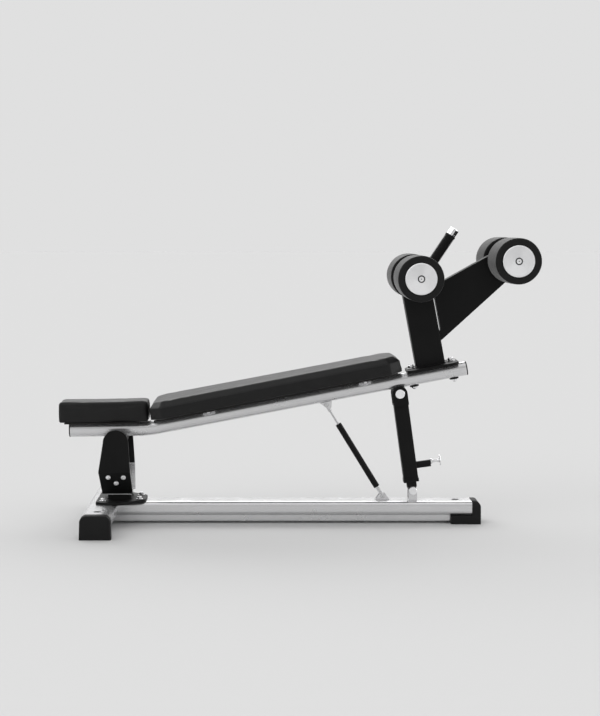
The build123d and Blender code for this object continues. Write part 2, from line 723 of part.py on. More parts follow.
# ------------------------------------------------------------- roller frame
rail_top = RAIL_HEIGHT / 2
plate_top = rail_top + BASE_PLATE_THICK
with BuildPart() as roller_base_plate:
    with BuildSketch(deck_plane(RAIL_ZERO, RAIL_SLOPE, rail_top)):
        with Locations((sum(BASE_PLATE_U) / 2, 0)):
            RectangleRounded(BASE_PLATE_U[1] - BASE_PLATE_U[0], BASE_PLATE_WIDTH, 30)
    extrude(amount=BASE_PLATE_THICK)
    fillet(roller_base_plate.faces().sort_by(RAIL_UP)[-1].edges(), 1.5)
save(roller_base_plate.part, "roller_base_plate")

post_half = ROLLER_POST_SIZE[0] / 2
with BuildPart() as roller_post:
    with BuildSketch(deck_plane(RAIL_ZERO, RAIL_SLOPE, plate_top)):
        with Locations((ROLLER_POST_U, 0)):
            RectangleRounded(*ROLLER_POST_SIZE, 6)
            RectangleRounded(
                ROLLER_POST_SIZE[0] - 6, ROLLER_POST_SIZE[1] - 6, 3, mode=Mode.SUBTRACT
            )
    extrude(amount=ROLLER_POST_TOP - plate_top - 3)
    with BuildSketch(deck_plane(RAIL_ZERO, RAIL_SLOPE, ROLLER_POST_TOP - 3)):
        with Locations((ROLLER_POST_U, 0)):
            RectangleRounded(*ROLLER_POST_SIZE, 6)
    extrude(amount=3)
    with BuildSketch(RAIL_SIDE):
        with Locations(KNEE_AXLE):
            Circle(AXLE_RADIUS)
    extrude(amount=ROLLER_POST_SIZE[1], both=True, mode=Mode.SUBTRACT)
save(roller_post.part, "roller_post")

# Arm: a boxed plate welded to the post above and below a narrow slot.
arm_face_u = ROLLER_POST_U + post_half
arm_slot = 6.5
arm_slot_h = (145.0, 272.0)
arm_end_radius = 49.5
arm_corner_low = (arm_face_u, 111.0)
arm_corner_high = (arm_face_u, 295.0)
upper_slope = 18.3
lower_slope = 31.6


def arm_edge_end(corner, slope):
    """Point of an arm edge abreast of the foot axle."""
    a = radians(slope)
    du = FOOT_AXLE[0] - corner[0]
    dh = FOOT_AXLE[1] - corner[1]
    along = du * cos(a) + dh * sin(a)
    return (corner[0] + along * cos(a), corner[1] + along * sin(a))


upper_end = arm_edge_end(arm_corner_high, upper_slope)
lower_end = arm_edge_end(arm_corner_low, lower_slope)
with BuildPart() as roller_arm:
    with BuildSketch(RAIL_SIDE) as arm_outline:
        with BuildLine():
            Polyline(
                arm_corner_low, lower_end, FOOT_AXLE, upper_end, arm_corner_high, close=True
            )
        make_face()
        with Locations(FOOT_AXLE):
            Circle(arm_end_radius)
            Circle(AXLE_RADIUS, mode=Mode.SUBTRACT)
        with Locations((arm_face_u + arm_slot / 2 - 0.01, sum(arm_slot_h) / 2)):
            Rectangle(arm_slot, arm_slot_h[1] - arm_slot_h[0], mode=Mode.SUBTRACT)
    extrude(amount=ARM_HALF, both=True)
    with BuildSketch(RAIL_SIDE):
        offset(arm_outline.sketch_local, amount=-ARM_WALL, kind=Kind.INTERSECTION)
        for low, high in ((121.0, 139.0), (278.0, 290.0)):
            with Locations((arm_face_u + ARM_WALL / 2, (low + high) / 2)):
                Rectangle(2 * ARM_WALL, high - low)
    extrude(amount=ARM_HALF - ARM_WALL, both=True, mode=Mode.SUBTRACT)
save(roller_arm.part, "roller_arm")

with BuildPart() as base_bolts:
    for height, amount, radius, sides in (
        (plate_top, 3, 15.5, 0), (plate_top + 3, 10, 10, 6),
        (-rail_top, -3, 15.5, 0), (-rail_top - 3, -10, 10, 6),
    ):
        with BuildSketch(deck_plane(RAIL_ZERO, RAIL_SLOPE, height)):
            with Locations((BASE_BOLT_U[0], 0), (BASE_BOLT_U[1], 0)):
                if sides:
                    RegularPolygon(radius, sides)
                else:
                    Circle(radius)
        extrude(amount=amount)
save(base_bolts.part, "base_bolts")

# Axles are fixed to the frame; each roller turns on a plain tube.
axle_half = ROLLER_Y[1] - 6
for axle_name, axle_place in (("knee_axle", KNEE_AXLE), ("foot_axle", FOOT_AXLE)):
    with BuildPart() as axle:
        with BuildSketch(RAIL_SIDE):
            with Locations(axle_place):
                Circle(AXLE_RADIUS)
                Circle(AXLE_RADIUS - AXLE_WALL, mode=Mode.SUBTRACT)
        extrude(amount=axle_half, both=True)
        for collar_side in (-1, 1):
            collar_inner = ROLLER_POST_SIZE[1] / 2 if axle_name == "knee_axle" else ARM_HALF
            collar_plane = RAIL_SIDE.offset(-collar_side * collar_inner)
            with BuildSketch(collar_plane):
                with Locations(axle_place):
                    Circle(ROLLER_TUBE_RADIUS)
                    Circle(AXLE_RADIUS, mode=Mode.SUBTRACT)
            extrude(amount=-collar_side * (ROLLER_Y[0] - 1 - collar_inner))
    save(axle.part, axle_name)

roller_sides = (("near", -1), ("far", 1))
for row_name, roller_place in (("knee", KNEE_AXLE), ("foot", FOOT_AXLE)):
    for side_name, roller_side in roller_sides:
        inner_plane = RAIL_SIDE.offset(-roller_side * ROLLER_Y[0])
        reach = -roller_side * (ROLLER_Y[1] - ROLLER_Y[0])
        with BuildPart() as foam:
            with BuildSketch(inner_plane):
                with Locations(roller_place):
                    Circle(ROLLER_RADIUS)
                    Circle(ROLLER_TUBE_RADIUS, mode=Mode.SUBTRACT)
            extrude(amount=reach)
            rims = foam.edges().filter_by(GeomType.CIRCLE).sort_by(SortBy.RADIUS)[-2:]
            fillet(rims, ROLLER_EDGE)
        save(foam.part, f"{row_name}_foam_{side_name}")
        with BuildPart() as hub:
            with BuildSketch(inner_plane):
                with Locations(roller_place):
                    Circle(ROLLER_TUBE_RADIUS)
            extrude(amount=reach)
            with BuildSketch(RAIL_SIDE.offset(-roller_side * ROLLER_Y[1])):
                with Locations(roller_place):
                    Circle(ROLLER_DISC_RADIUS)
            extrude(amount=-roller_side * 5)
            with BuildSketch(inner_plane):
                with Locations(roller_place):
                    Circle(AXLE_RADIUS + RUNNING_GAP)
            extrude(amount=-roller_side * (axle_half + 1 - ROLLER_Y[0]), mode=Mode.SUBTRACT)
            outer_rim = hub.faces().sort_by(Axis.Y)[-1 if roller_side > 0 else 0]
            fillet(outer_rim.edges(), 3)
        save(hub.part, f"{row_name}_hub_{side_name}")

# Handle: a bar welded through the post's top, with a ribbed grip and an end plug.
handle_tip = (
    HANDLE_FOOT[0] + HANDLE_LENGTH * sin(radians(HANDLE_LEAN)),
    HANDLE_FOOT[1] + HANDLE_LENGTH * cos(radians(HANDLE_LEAN)),
)
with BuildPart() as handle_bar:
    with BuildSketch(cross_plane(HANDLE_FOOT, handle_tip, 0)):
        Circle(HANDLE_BAR_RADIUS)
    extrude(amount=GRIP_SPAN[1])
    with BuildSketch(RAIL_SIDE):
        with Locations((ROLLER_POST_U, ROLLER_POST_TOP - 200)):
            Rectangle(4 * post_half, 400)
    extrude(amount=ROLLER_POST_SIZE[1], both=True, mode=Mode.SUBTRACT)
save(handle_bar.part, "handle_bar")

with BuildPart() as handle_grip:
    with BuildSketch(cross_plane(HANDLE_FOOT, handle_tip, GRIP_SPAN[0])):
        Circle(GRIP_RADIUS)
        Circle(HANDLE_BAR_RADIUS, mode=Mode.SUBTRACT)
    extrude(amount=GRIP_SPAN[1] - GRIP_SPAN[0])
save(handle_grip.part, "handle_grip")

with BuildPart() as handle_plug:
    with BuildSketch(cross_plane(HANDLE_FOOT, handle_tip, GRIP_SPAN[1])):
        Circle(GRIP_RADIUS - 2)
    extrude(amount=PLUG_LENGTH)
    plug_end = handle_plug.faces().sort_by(Axis.Z)[-1]
    fillet(plug_end.edges(), 4)
save(handle_plug.part, "handle_plug")

# -------------------------------------------------------- telescoping post
outer_top = POST_LENGTH - 35.0
with BuildPart() as outer_tube:
    with BuildSketch(cross_plane(POST_FOOT, POST_TOP, OUTER_START)):
        RectangleRounded(OUTER_TUBE + 3, OUTER_TUBE + 3, 6)
        Rectangle(INNER_TUBE + 4.4, INNER_TUBE + 4.4, mode=Mode.SUBTRACT)
    extrude(amount=12)
    with BuildSketch(cross_plane(POST_FOOT, POST_TOP, OUTER_START + 12)):
        RectangleRounded(OUTER_TUBE, OUTER_TUBE, 5)
        Rectangle(OUTER_TUBE - 2 * OUTER_WALL, OUTER_TUBE - 2 * OUTER_WALL, mode=Mode.SUBTRACT)
    extrude(amount=outer_top - OUTER_START - 12 - 6)
    with BuildSketch(cross_plane(POST_FOOT, POST_TOP, outer_top - 6)):
        RectangleRounded(2 * EAR_RADIUS, 2 * (EAR_INNER_Y + EAR_THICK), 3)
    extrude(amount=6)
    for ear_side in (-1, 1):
        with BuildSketch(POST_SIDE.offset(-ear_side * EAR_INNER_Y)):
            with Locations((0, (outer_top - 6 + POST_LENGTH) / 2)):
                Rectangle(2 * EAR_RADIUS, POST_LENGTH - outer_top + 6)
            with Locations((0, POST_LENGTH)):
                Circle(EAR_RADIUS)
                Circle(HEAD_PIN_RADIUS, mode=Mode.SUBTRACT)
        extrude(amount=-ear_side * EAR_THICK)
    with BuildSketch(side_plane(POST_FOOT, axis_angle(POST_FOOT, POST_TOP) - 90)):
        with Locations((OUTER_TUBE / 2, LOCK_HEIGHT)):
            Rectangle(4 * OUTER_WALL, 2 * LOCK_PIN_RADIUS + 0.4)
    extrude(amount=LOCK_PIN_RADIUS + 0.2, both=True, mode=Mode.SUBTRACT)
save(outer_tube.part, "outer_tube")

post_head_pin = headed_pin(
    POST_TOP, HEAD_PIN_RADIUS, EAR_INNER_Y + EAR_THICK, HEAD_PIN_CAP_RADIUS, 5
)
save(post_head_pin, "post_head_pin")

# Locking pin: barrel welded to the outer tube, sprung plunger with a pull disc.
lock_plane = Plane(
    origin=POST_SIDE.from_local_coords((OUTER_TUBE / 2, LOCK_HEIGHT, 0)),
    x_dir=(0, 1, 0),
    z_dir=POST_SIDE.x_dir,
)
with BuildPart() as lock_barrel:
    with BuildSketch(lock_plane):
        Circle(LOCK_BARREL_RADIUS)
        Circle(LOCK_PIN_RADIUS + RUNNING_GAP, mode=Mode.SUBTRACT)
    extrude(amount=LOCK_BARREL_LENGTH)
save(lock_barrel.part, "lock_barrel")

with BuildPart() as lock_plunger:
    with BuildSketch(lock_plane.offset(-5)):
        Circle(LOCK_PIN_RADIUS)
    extrude(amount=LOCK_BARREL_LENGTH + 5.3)
    with BuildSketch(lock_plane.offset(LOCK_BARREL_LENGTH + 0.3)):
        Circle(8)
    extrude(amount=30)
    with BuildSketch(lock_plane.offset(LOCK_BARREL_LENGTH + 30.3)):
        Circle(19)
    extrude(amount=5)
    fillet(lock_plunger.edges().filter_by(GeomType.CIRCLE).sort_by(SortBy.RADIUS)[-2:], 1.5)
save(lock_plunger.part, "lock_plunger")

with BuildPart() as inner_tube:
    with BuildSketch(cross_plane(POST_FOOT, POST_TOP, 12)):
        RectangleRounded(INNER_TUBE, INNER_TUBE, 3)
        Rectangle(INNER_TUBE - 2 * INNER_WALL, INNER_TUBE - 2 * INNER_WALL, mode=Mode.SUBTRACT)
    extrude(amount=280)
    with BuildSketch(POST_SIDE):
        Circle(clevis_width / 2 - 1)
        with Locations((0, 8)):
            Rectangle(clevis_width - 2, 16)
        Circle(FOOT_PIN_RADIUS + RUNNING_GAP, mode=Mode.SUBTRACT)
    extrude(amount=INNER_TUBE / 2, both=True)
save(inner_tube.part, "inner_tube")

# -------------------------------------------------------------- gas strut
with BuildPart() as strut_cylinder:
    with BuildSketch(cross_plane(STRUT_FOOT, STRUT_TOP, STRUT_CYLINDER[0])):
        Circle(STRUT_CYLINDER_RADIUS)
    extrude(amount=STRUT_CYLINDER[1] - STRUT_CYLINDER[0])
    with BuildSketch(cross_plane(STRUT_FOOT, STRUT_TOP, STRUT_CYLINDER[0] + 8)):
        Circle(STRUT_BORE_RADIUS)
    extrude(amount=STRUT_CYLINDER[1] - STRUT_CYLINDER[0] - 14, mode=Mode.SUBTRACT)
    with BuildSketch(cross_plane(STRUT_FOOT, STRUT_TOP, STRUT_CYLINDER[1] - 10)):
        Circle(STRUT_GLAND_RADIUS)
    extrude(amount=20, mode=Mode.SUBTRACT)
save(strut_cylinder.part, "strut_cylinder")

with BuildPart() as strut_foot_eye:
    with BuildSketch(cross_plane(STRUT_FOOT, STRUT_TOP, 4)):
        Circle(6)
    extrude(amount=STRUT_CYLINDER[0] - 4)
    with BuildSketch(STRUT_SIDE):
        Circle(8.5)
    extrude(amount=strut_gap - 0.5, both=True)
    with BuildSketch(STRUT_SIDE):
        Circle(STRUT_PIN_RADIUS + RUNNING_GAP)
    extrude(amount=strut_gap, both=True, mode=Mode.SUBTRACT)
save(strut_foot_eye.part, "strut_foot_eye")

with BuildPart() as strut_rod:
    with BuildSketch(cross_plane(STRUT_TOP, STRUT_FOOT, 4)):
        Circle(STRUT_ROD_RADIUS)
    extrude(amount=STRUT_ROD_LENGTH - 4)
    with BuildSketch(cross_plane(STRUT_TOP, STRUT_FOOT, 4)):
        Circle(6)
    extrude(amount=22)
    with BuildSketch(STRUT_SIDE):
        with Locations((0, STRUT_LENGTH)):
            Circle(8.5)
    extrude(amount=strut_gap - 0.5, both=True)
    with BuildSketch(STRUT_SIDE):
        with Locations((0, STRUT_LENGTH)):
            Circle(STRUT_PIN_RADIUS + RUNNING_GAP)
    extrude(amount=strut_gap, both=True, mode=Mode.SUBTRACT)
save(strut_rod.part, "strut_rod")
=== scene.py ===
import json
import math

import bmesh
import bpy
import numpy as np
from mathutils import Matrix, Vector
from mathutils.bvhtree import BVHTree


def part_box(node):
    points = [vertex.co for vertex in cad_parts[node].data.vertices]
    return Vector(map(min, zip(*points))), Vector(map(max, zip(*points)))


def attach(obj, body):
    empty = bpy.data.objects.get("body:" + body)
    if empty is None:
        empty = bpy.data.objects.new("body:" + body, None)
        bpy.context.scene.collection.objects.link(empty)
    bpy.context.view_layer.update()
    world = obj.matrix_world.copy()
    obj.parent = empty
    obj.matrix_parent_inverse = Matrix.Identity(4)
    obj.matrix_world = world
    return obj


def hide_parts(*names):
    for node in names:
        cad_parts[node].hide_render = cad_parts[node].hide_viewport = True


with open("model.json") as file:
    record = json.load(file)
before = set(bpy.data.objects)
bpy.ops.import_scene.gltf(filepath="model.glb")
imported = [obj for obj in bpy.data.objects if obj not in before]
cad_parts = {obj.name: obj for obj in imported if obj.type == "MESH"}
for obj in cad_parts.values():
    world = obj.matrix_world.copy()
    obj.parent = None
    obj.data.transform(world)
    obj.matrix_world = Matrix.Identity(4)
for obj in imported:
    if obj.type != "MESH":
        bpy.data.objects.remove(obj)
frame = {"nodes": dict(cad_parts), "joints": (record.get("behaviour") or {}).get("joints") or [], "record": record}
NODES = frame["nodes"]
JOINTS = {j["name"]: j for j in frame["joints"]}
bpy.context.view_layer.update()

MM = 0.001

# ------------------------------------------------------------------ the frame
# The rail slopes up towards +X; the head section is nearly level.
RAIL_SLOPE = math.radians(10.87)
HEAD_SLOPE = math.radians(0.95)


def slope_matrix(slope):
    """Axes along a slope: X along it, Y across the bench, Z square to it."""
    return Matrix.Rotation(-slope, 4, "Y")


def local_points(node, matrix):
    """A CAD node's vertices seen from a placing matrix."""
    back = matrix.inverted()
    return np.array([back @ v.co for v in NODES[node].data.vertices], float)


def local_box(node, matrix):
    points = local_points(node, matrix)
    return Vector(points.min(0)), Vector(points.max(0))


def axis_matrix(origin, direction, up=(0, 1, 0)):
    """Placing matrix whose Z runs along a direction."""
    z = Vector(direction).normalized()
    x = Vector(up).cross(z)
    if x.length < 1e-6:
        x = Vector((1, 0, 0)).cross(z)
    x.normalize()
    y = z.cross(x)
    matrix = Matrix((x, y, z)).transposed().to_4x4()
    matrix.translation = Vector(origin)
    return matrix


# ------------------------------------------------------------------ materials
def node_of(tree, kind, **settings):
    node = tree.nodes.new(kind)
    for key, value in settings.items():
        setattr(node, key, value)
    return node


def noise(tree, coords, scale, detail=4.0, roughness=0.55, stretch=None):
    """Noise texture in object coordinates, optionally stretched along an axis."""
    texture = node_of(tree, "ShaderNodeTexNoise")
    texture.inputs["Scale"].default_value = scale
    texture.inputs["Detail"].default_value = detail
    texture.inputs["Roughness"].default_value = roughness
    if stretch:
        mapping = node_of(tree, "ShaderNodeMapping")
        mapping.inputs["Scale"].default_value = stretch
        tree.links.new(coords, mapping.inputs["Vector"])
        coords = mapping.outputs["Vector"]
    tree.links.new(coords, texture.inputs["Vector"])
    return texture.outputs["Fac"]


def ranged(tree, value, low, high, from_low=0.3, from_high=0.7):
    """Maps a noise value to a range."""
    node = node_of(tree, "ShaderNodeMapRange")
    node.inputs["From Min"].default_value = from_low
    node.inputs["From Max"].default_value = from_high
    node.inputs["To Min"].default_value = low
    node.inputs["To Max"].default_value = high
    tree.links.new(value, node.inputs["Value"])
    return node.outputs["Result"]


def tinted(tree, value, dark, light, from_low=0.3, from_high=0.7):
    """Mixes two colours by a noise value."""
    ramp = node_of(tree, "ShaderNodeValToRGB")
    ramp.color_ramp.elements[0].position = from_low
    ramp.color_ramp.elements[1].position = from_high
    ramp.color_ramp.elements[0].color = (*dark, 1)
    ramp.color_ramp.elements[1].color = (*light, 1)
    tree.links.new(value, ramp.inputs["Fac"])
    return ramp.outputs["Color"]


def bumped(tree, layers):
    """Chains bump layers of (height, strength, distance in metres)."""
    normal = None
    for height, strength, distance in layers:
        bump = node_of(tree, "ShaderNodeBump")
        bump.inputs["Strength"].default_value = strength
        bump.inputs["Distance"].default_value = distance
        tree.links.new(height, bump.inputs["Height"])
        if normal is not None:
            tree.links.new(normal, bump.inputs["Normal"])
        normal = bump.outputs["Normal"]
    return normal


def new_material(name, metallic=0.0, specular=0.5, coat=0.0):
    """Material, its tree, its shader and its object coordinates."""
    material = bpy.data.materials.new(name)
    material.use_nodes = True
    tree = material.node_tree
    shader = tree.nodes["Principled BSDF"]
    shader.inputs["Metallic"].default_value = metallic
    shader.inputs["Specular IOR Level"].default_value = specular
    shader.inputs["Coat Weight"].default_value = coat
    coords = node_of(tree, "ShaderNodeTexCoord").outputs["Object"]
    return material, tree, shader, coords


def finish_material(tree, shader, color, roughness, normal):
    tree.links.new(color, shader.inputs["Base Color"])
    tree.links.new(roughness, shader.inputs["Roughness"])
    if normal is not None:
        tree.links.new(normal, shader.inputs["Normal"])


def grey(value):
    return (value, value, value * 1.01)


def painted(name, dark, light, metallic, specular, rough, grain, flake=False):
    """Powder coat with fine orange peel and a slight drift of tone, or metal flakes instead."""
    material, tree, shader, coords = new_material(name, metallic, specular)
    drift = noise(tree, coords, 14, 3)
    peel = noise(tree, coords, grain, 2, 0.5)
    fine = noise(tree, coords, 4200 if flake else 2600, 1, 0.5)
    color = tinted(tree, fine if flake else drift, grey(dark), grey(light))
    normal = bumped(tree, [(peel, 0.10, 0.0004), (fine, 0.06, 0.0001)])
    finish_material(tree, shader, color, ranged(tree, drift, *rough), normal)
    return material


def silver_material():
    return painted("silver_powder_coat", 0.66, 0.76, 0.82, 0.5, (0.22, 0.28), 420, flake=True)


def black_material():
    return painted("black_powder_coat", 0.0050, 0.0068, 0.0, 0.13, (0.40, 0.48), 520)


def black_gloss_material():
    return painted("black_gloss_coat", 0.0045, 0.0058, 0.0, 0.16, (0.24, 0.30), 240)


def chrome_material():
    material, tree, shader, coords = new_material("polished_chrome", 1.0)
    smudge = noise(tree, coords, 60, 4)
    color = tinted(tree, smudge, grey(0.88), grey(0.94))
    normal = bumped(tree, [(noise(tree, coords, 900, 2), 0.03, 0.0001)])
    finish_material(tree, shader, color, ranged(tree, smudge, 0.09, 0.15), normal)
    return material


def zinc_material():
    """Bright zinc plate, duller than chrome."""
    material, tree, shader, coords = new_material("bright_zinc", 0.45)
    spangle = noise(tree, coords, 700, 3)
    normal = bumped(tree, [(spangle, 0.04, 0.0001)])
    finish_material(
        tree, shader, tinted(tree, spangle, grey(0.88), grey(0.95)),
        ranged(tree, spangle, 0.22, 0.30), normal,
    )
    return material


def steel_material():
    """Brushed steel with fine lines."""
    material, tree, shader, coords = new_material("brushed_steel", 1.0)
    lines = noise(tree, coords, 300, 4, 0.6, stretch=(1, 12, 1))
    color = tinted(tree, lines, grey(0.56), grey(0.70))
    normal = bumped(tree, [(lines, 0.08, 0.0001)])
    finish_material(tree, shader, color, ranged(tree, lines, 0.22, 0.34), normal)
    return material


def rubber_material():
    material, tree, shader, coords = new_material("moulded_rubber", 0.0, 0.16)
    drift = noise(tree, coords, 25, 4)
    pores = noise(tree, coords, 1500, 3, 0.6)
    color = tinted(tree, drift, grey(0.0085), grey(0.0115))
    normal = bumped(tree, [(pores, 0.22, 0.00025), (drift, 0.05, 0.001)])
    finish_material(tree, shader, color, ranged(tree, drift, 0.50, 0.62), normal)
    return material


def plastic_material():
    material, tree, shader, coords = new_material("black_plastic", 0.0, 0.18)
    grain = noise(tree, coords, 1100, 2, 0.5)
    color = tinted(tree, noise(tree, coords, 30, 3), grey(0.007), grey(0.010))
    normal = bumped(tree, [(grain, 0.15, 0.0002)])
    finish_material(tree, shader, color, ranged(tree, grain, 0.38, 0.48), normal)
    return material


def board_material():
    """Black-stained plywood."""
    material, tree, shader, coords = new_material("stained_plywood", 0.0, 0.3)
    grain = noise(tree, coords, 60, 6, 0.6, stretch=(1, 14, 14))
    color = tinted(tree, grain, (0.008, 0.008, 0.008), (0.022, 0.021, 0.020))
    normal = bumped(tree, [(grain, 0.2, 0.0004)])
    finish_material(tree, shader, color, ranged(tree, grain, 0.6, 0.75), normal)
    return material


def leather_cells(tree, coords, scale):
    """Pebbled grain: rounded cells with narrow valleys."""
    cells = node_of(tree, "ShaderNodeTexVoronoi", feature="DISTANCE_TO_EDGE")
    cells.inputs["Scale"].default_value = scale
    tree.links.new(coords, cells.inputs["Vector"])
    return ranged(tree, cells.outputs["Distance"], 0.0, 1.0, 0.0, 0.16)


def vinyl_material():
    """Satin upholstery vinyl with a fine pebble grain and soft creases."""
    material, tree, shader, coords = new_material("upholstery_vinyl", 0.0, 0.22)
    wobble = noise(tree, coords, 500, 2)
    pebble = leather_cells(tree, coords, 620)
    crease = noise(tree, coords, 22, 5, 0.6)
    color = tinted(tree, crease, grey(0.0085), grey(0.0110))
    normal = bumped(tree, [(crease, 0.10, 0.0015), (wobble, 0.06, 0.0003), (pebble, 0.14, 0.00015)])
    finish_material(tree, shader, color, ranged(tree, crease, 0.36, 0.45), normal)
    return material


def thread_material():
    material, tree, shader, coords = new_material("black_thread", 0.0, 0.3)
    twist = noise(tree, coords, 3000, 2)
    color = tinted(tree, twist, grey(0.012), grey(0.030))
    finish_material(
        tree, shader, color, ranged(tree, twist, 0.5, 0.7), bumped(tree, [(twist, 0.4, 0.0002)])
    )
    return material


def foam_material():
    """Closed-cell foam rubber with a smooth skin and tiny pores."""
    material, tree, shader, coords = new_material("foam_rubber", 0.0, 0.16)
    shader.inputs["Sheen Weight"].default_value = 0.26
    shader.inputs["Sheen Roughness"].default_value = 0.30
    pores = node_of(tree, "ShaderNodeTexVoronoi")
    pores.inputs["Scale"].default_value = 900
    tree.links.new(coords, pores.inputs["Vector"])
    mottled = noise(tree, coords, 45, 5, 0.6)
    color = tinted(tree, mottled, grey(0.0075), grey(0.0110))
    layers = [(mottled, 0.08, 0.001), (pores.outputs["Distance"], 0.30, 0.00025)]
    finish_material(tree, shader, color, ranged(tree, mottled, 0.50, 0.62), bumped(tree, layers))
    return material


def disc_material():
    """Turned aluminium: its tool marks run round the roller's axis and stretch the gloss."""
    material, tree, shader, coords = new_material("turned_aluminium", 1.0)
    shader.inputs["Anisotropic"].default_value = 0.80
    tangent = node_of(tree, "ShaderNodeTangent", direction_type="RADIAL", axis="Y")
    tree.links.new(tangent.outputs["Tangent"], shader.inputs["Tangent"])
    streak = noise(tree, coords, 900, 3, 0.6, stretch=(1, 0.05, 1))
    color = tinted(tree, streak, grey(0.90), grey(0.97))
    normal = bumped(tree, [(streak, 0.03, 0.0001)])
    finish_material(tree, shader, color, ranged(tree, streak, 0.28, 0.36), normal)
    return material


MATERIALS = {
    "silver_paint": silver_material(),
    "black_paint": black_material(),
    "black_tube": black_gloss_material(),
    "steel": steel_material(),
    "chrome": chrome_material(),
    "rubber": rubber_material(),
    "plastic": plastic_material(),
    "board": board_material(),
    "upholstery": vinyl_material(),
    "foam": foam_material(),
    "roller_disc": disc_material(),
}
THREAD = thread_material()
ZINC = zinc_material()

for part in frame["record"]["subparts"]:
    NODES[part["node"]].data.materials.clear()
    NODES[part["node"]].data.materials.append(MATERIALS[part["material_slot"]])


# ----------------------------------------------------------------- mesh tools
def sharpen(bm, degrees=32):
    """Smooth shading with crisp edges above an angle."""
    limit = math.radians(degrees)
    for face in bm.faces:
        face.smooth = True
    for edge in bm.edges:
        if len(edge.link_faces) == 2:
            edge.smooth = edge.calc_face_angle(0) < limit


def make_piece(name, bm, body, slot, material=None, replaced=(), degrees=32):
    """Turns a bmesh into an object that rides on a body and takes a slot's finish."""
    bmesh.ops.recalc_face_normals(bm, faces=bm.faces)
    sharpen(bm, degrees)
    mesh = bpy.data.meshes.new(name)
    bm.to_mesh(mesh)
    bm.free()
    mesh.materials.append(material or MATERIALS[slot])
    piece = bpy.data.objects.new(name, mesh)
    bpy.context.scene.collection.objects.link(piece)
    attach(piece, body)
    if replaced:
        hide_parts(*replaced)
    return piece


def hex_radius(radius, angle):
    """Distance to a hexagon's side, where radius is to its corners."""
    sixth = math.pi / 3
    return radius * math.cos(sixth / 2) / math.cos(angle % sixth - sixth / 2)


def lathe(bm, rings, matrix, segments=48, hexed=()):
    """Revolves (radius, height) rings about Z; rings in hexed follow a hexagon."""
    loops = []
    for index, (radius, height) in enumerate(rings):
        if radius < 1e-7:
            loops.append([bm.verts.new(matrix @ Vector((0, 0, height)))])
            continue
        loop = []
        for step in range(segments):
            angle = 2 * math.pi * step / segments
            reach = hex_radius(radius, angle) if index in hexed else radius
            point = Vector((reach * math.cos(angle), reach * math.sin(angle), height))
            loop.append(bm.verts.new(matrix @ point))
        loops.append(loop)
    for low, high in zip(loops, loops[1:]):
        for step in range(segments):
            after = (step + 1) % segments
            if len(low) == 1:
                bm.faces.new((low[0], high[after], high[step]))
            elif len(high) == 1:
                bm.faces.new((low[step], low[after], high[0]))
            else:
                bm.faces.new((low[step], low[after], high[after], high[step]))


def tube_along(bm, points, radius_at, sides=10, closed=False):
    """Sweeps a round section along points, with a radius that may vary."""
    count = len(points)
    loops = []
    up = Vector((0, 0, 1))
    for index, point in enumerate(points):
        before = points[index - 1] if index or closed else points[0]
        after = points[(index + 1) % count] if index + 1 < count or closed else points[-1]
        along = (after - before).normalized()
        side = along.cross(up)
        if side.length < 0.2:
            side = along.cross(Vector((1, 0, 0)))
        side.normalize()
        rise = side.cross(along)
        radius = radius_at(index)
        loops.append([
            bm.verts.new(point + (side * math.cos(a) + rise * math.sin(a)) * radius)
            for a in (2 * math.pi * k / sides for k in range(sides))
        ])
    pairs = list(zip(loops, loops[1:]))
    if closed:
        pairs.append((loops[-1], loops[0]))
    for low, high in pairs:
        for k in range(sides):
            after = (k + 1) % sides
            bm.faces.new((low[k], low[after], high[after], high[k]))
    if not closed:
        bm.faces.new(loops[0])
        bm.faces.new(loops[-1])


def spaced(points, step, closed=False):
    """Evenly spaced points along a polyline."""
    stops = list(points) + ([points[0]] if closed else [])
    lengths = [(b - a).length for a, b in zip(stops, stops[1:])]
    total = sum(lengths)
    count = max(2, round(total / step))
    result = []
    for index in range(count if closed else count + 1):
        target = total * index / count
        for a, b, length in zip(stops, stops[1:], lengths):
            if target <= length or b is stops[-1]:
                result.append(a.lerp(b, min(1.0, target / length) if length else 0))
                break
            target -= length
    return result


def arc_corners(corners, radius, steps=6):
    """Rounds the corners of a closed polygon."""
    result = []
    count = len(corners)
    for index, corner in enumerate(corners):
        before = (corners[index - 1] - corner).normalized()
        after = (corners[(index + 1) % count] - corner).normalized()
        half = before.angle(after) / 2
        start = corner + before * (radius / math.tan(half))
        end = corner + after * (radius / math.tan(half))
        centre = corner + (before + after).normalized() * (radius / math.sin(half))
        for step in range(steps + 1):
            share = step / steps
            chord = (start - centre).lerp(end - centre, share).normalized()
            result.append(centre + chord * radius)
    return result


# ------------------------------------------------------------------ fasteners
# A hexagon's distance to its sides, as a share of the distance to its corners.
HEX_FLAT = 0.866
WASHER_EDGE = 0.4 * MM


def add_washer(bm, matrix, radius, thickness):
    rings = [
        (0, 0), (radius - WASHER_EDGE, 0), (radius, WASHER_EDGE), (radius, thickness - WASHER_EDGE),
        (radius - WASHER_EDGE, thickness), (0, thickness),
    ]
    lathe(bm, rings, matrix)


def add_hex_head(bm, matrix, radius, height, base=0.0):
    """Hexagon head with a turned chamfer and a shallow dished top."""
    flat = radius * HEX_FLAT
    rings = [
        (0, base), (flat * 0.96, base), (radius * 0.995, base + 0.5 * MM),
        (radius, base + height - 1.2 * MM), (radius * 0.90, base + height - 0.35 * MM),
        (flat * 0.90, base + height), (flat * 0.62, base + height - 0.3 * MM),
        (0, base + height - 0.5 * MM),
    ]
    lathe(bm, rings, matrix, 60, hexed={2, 3, 4})


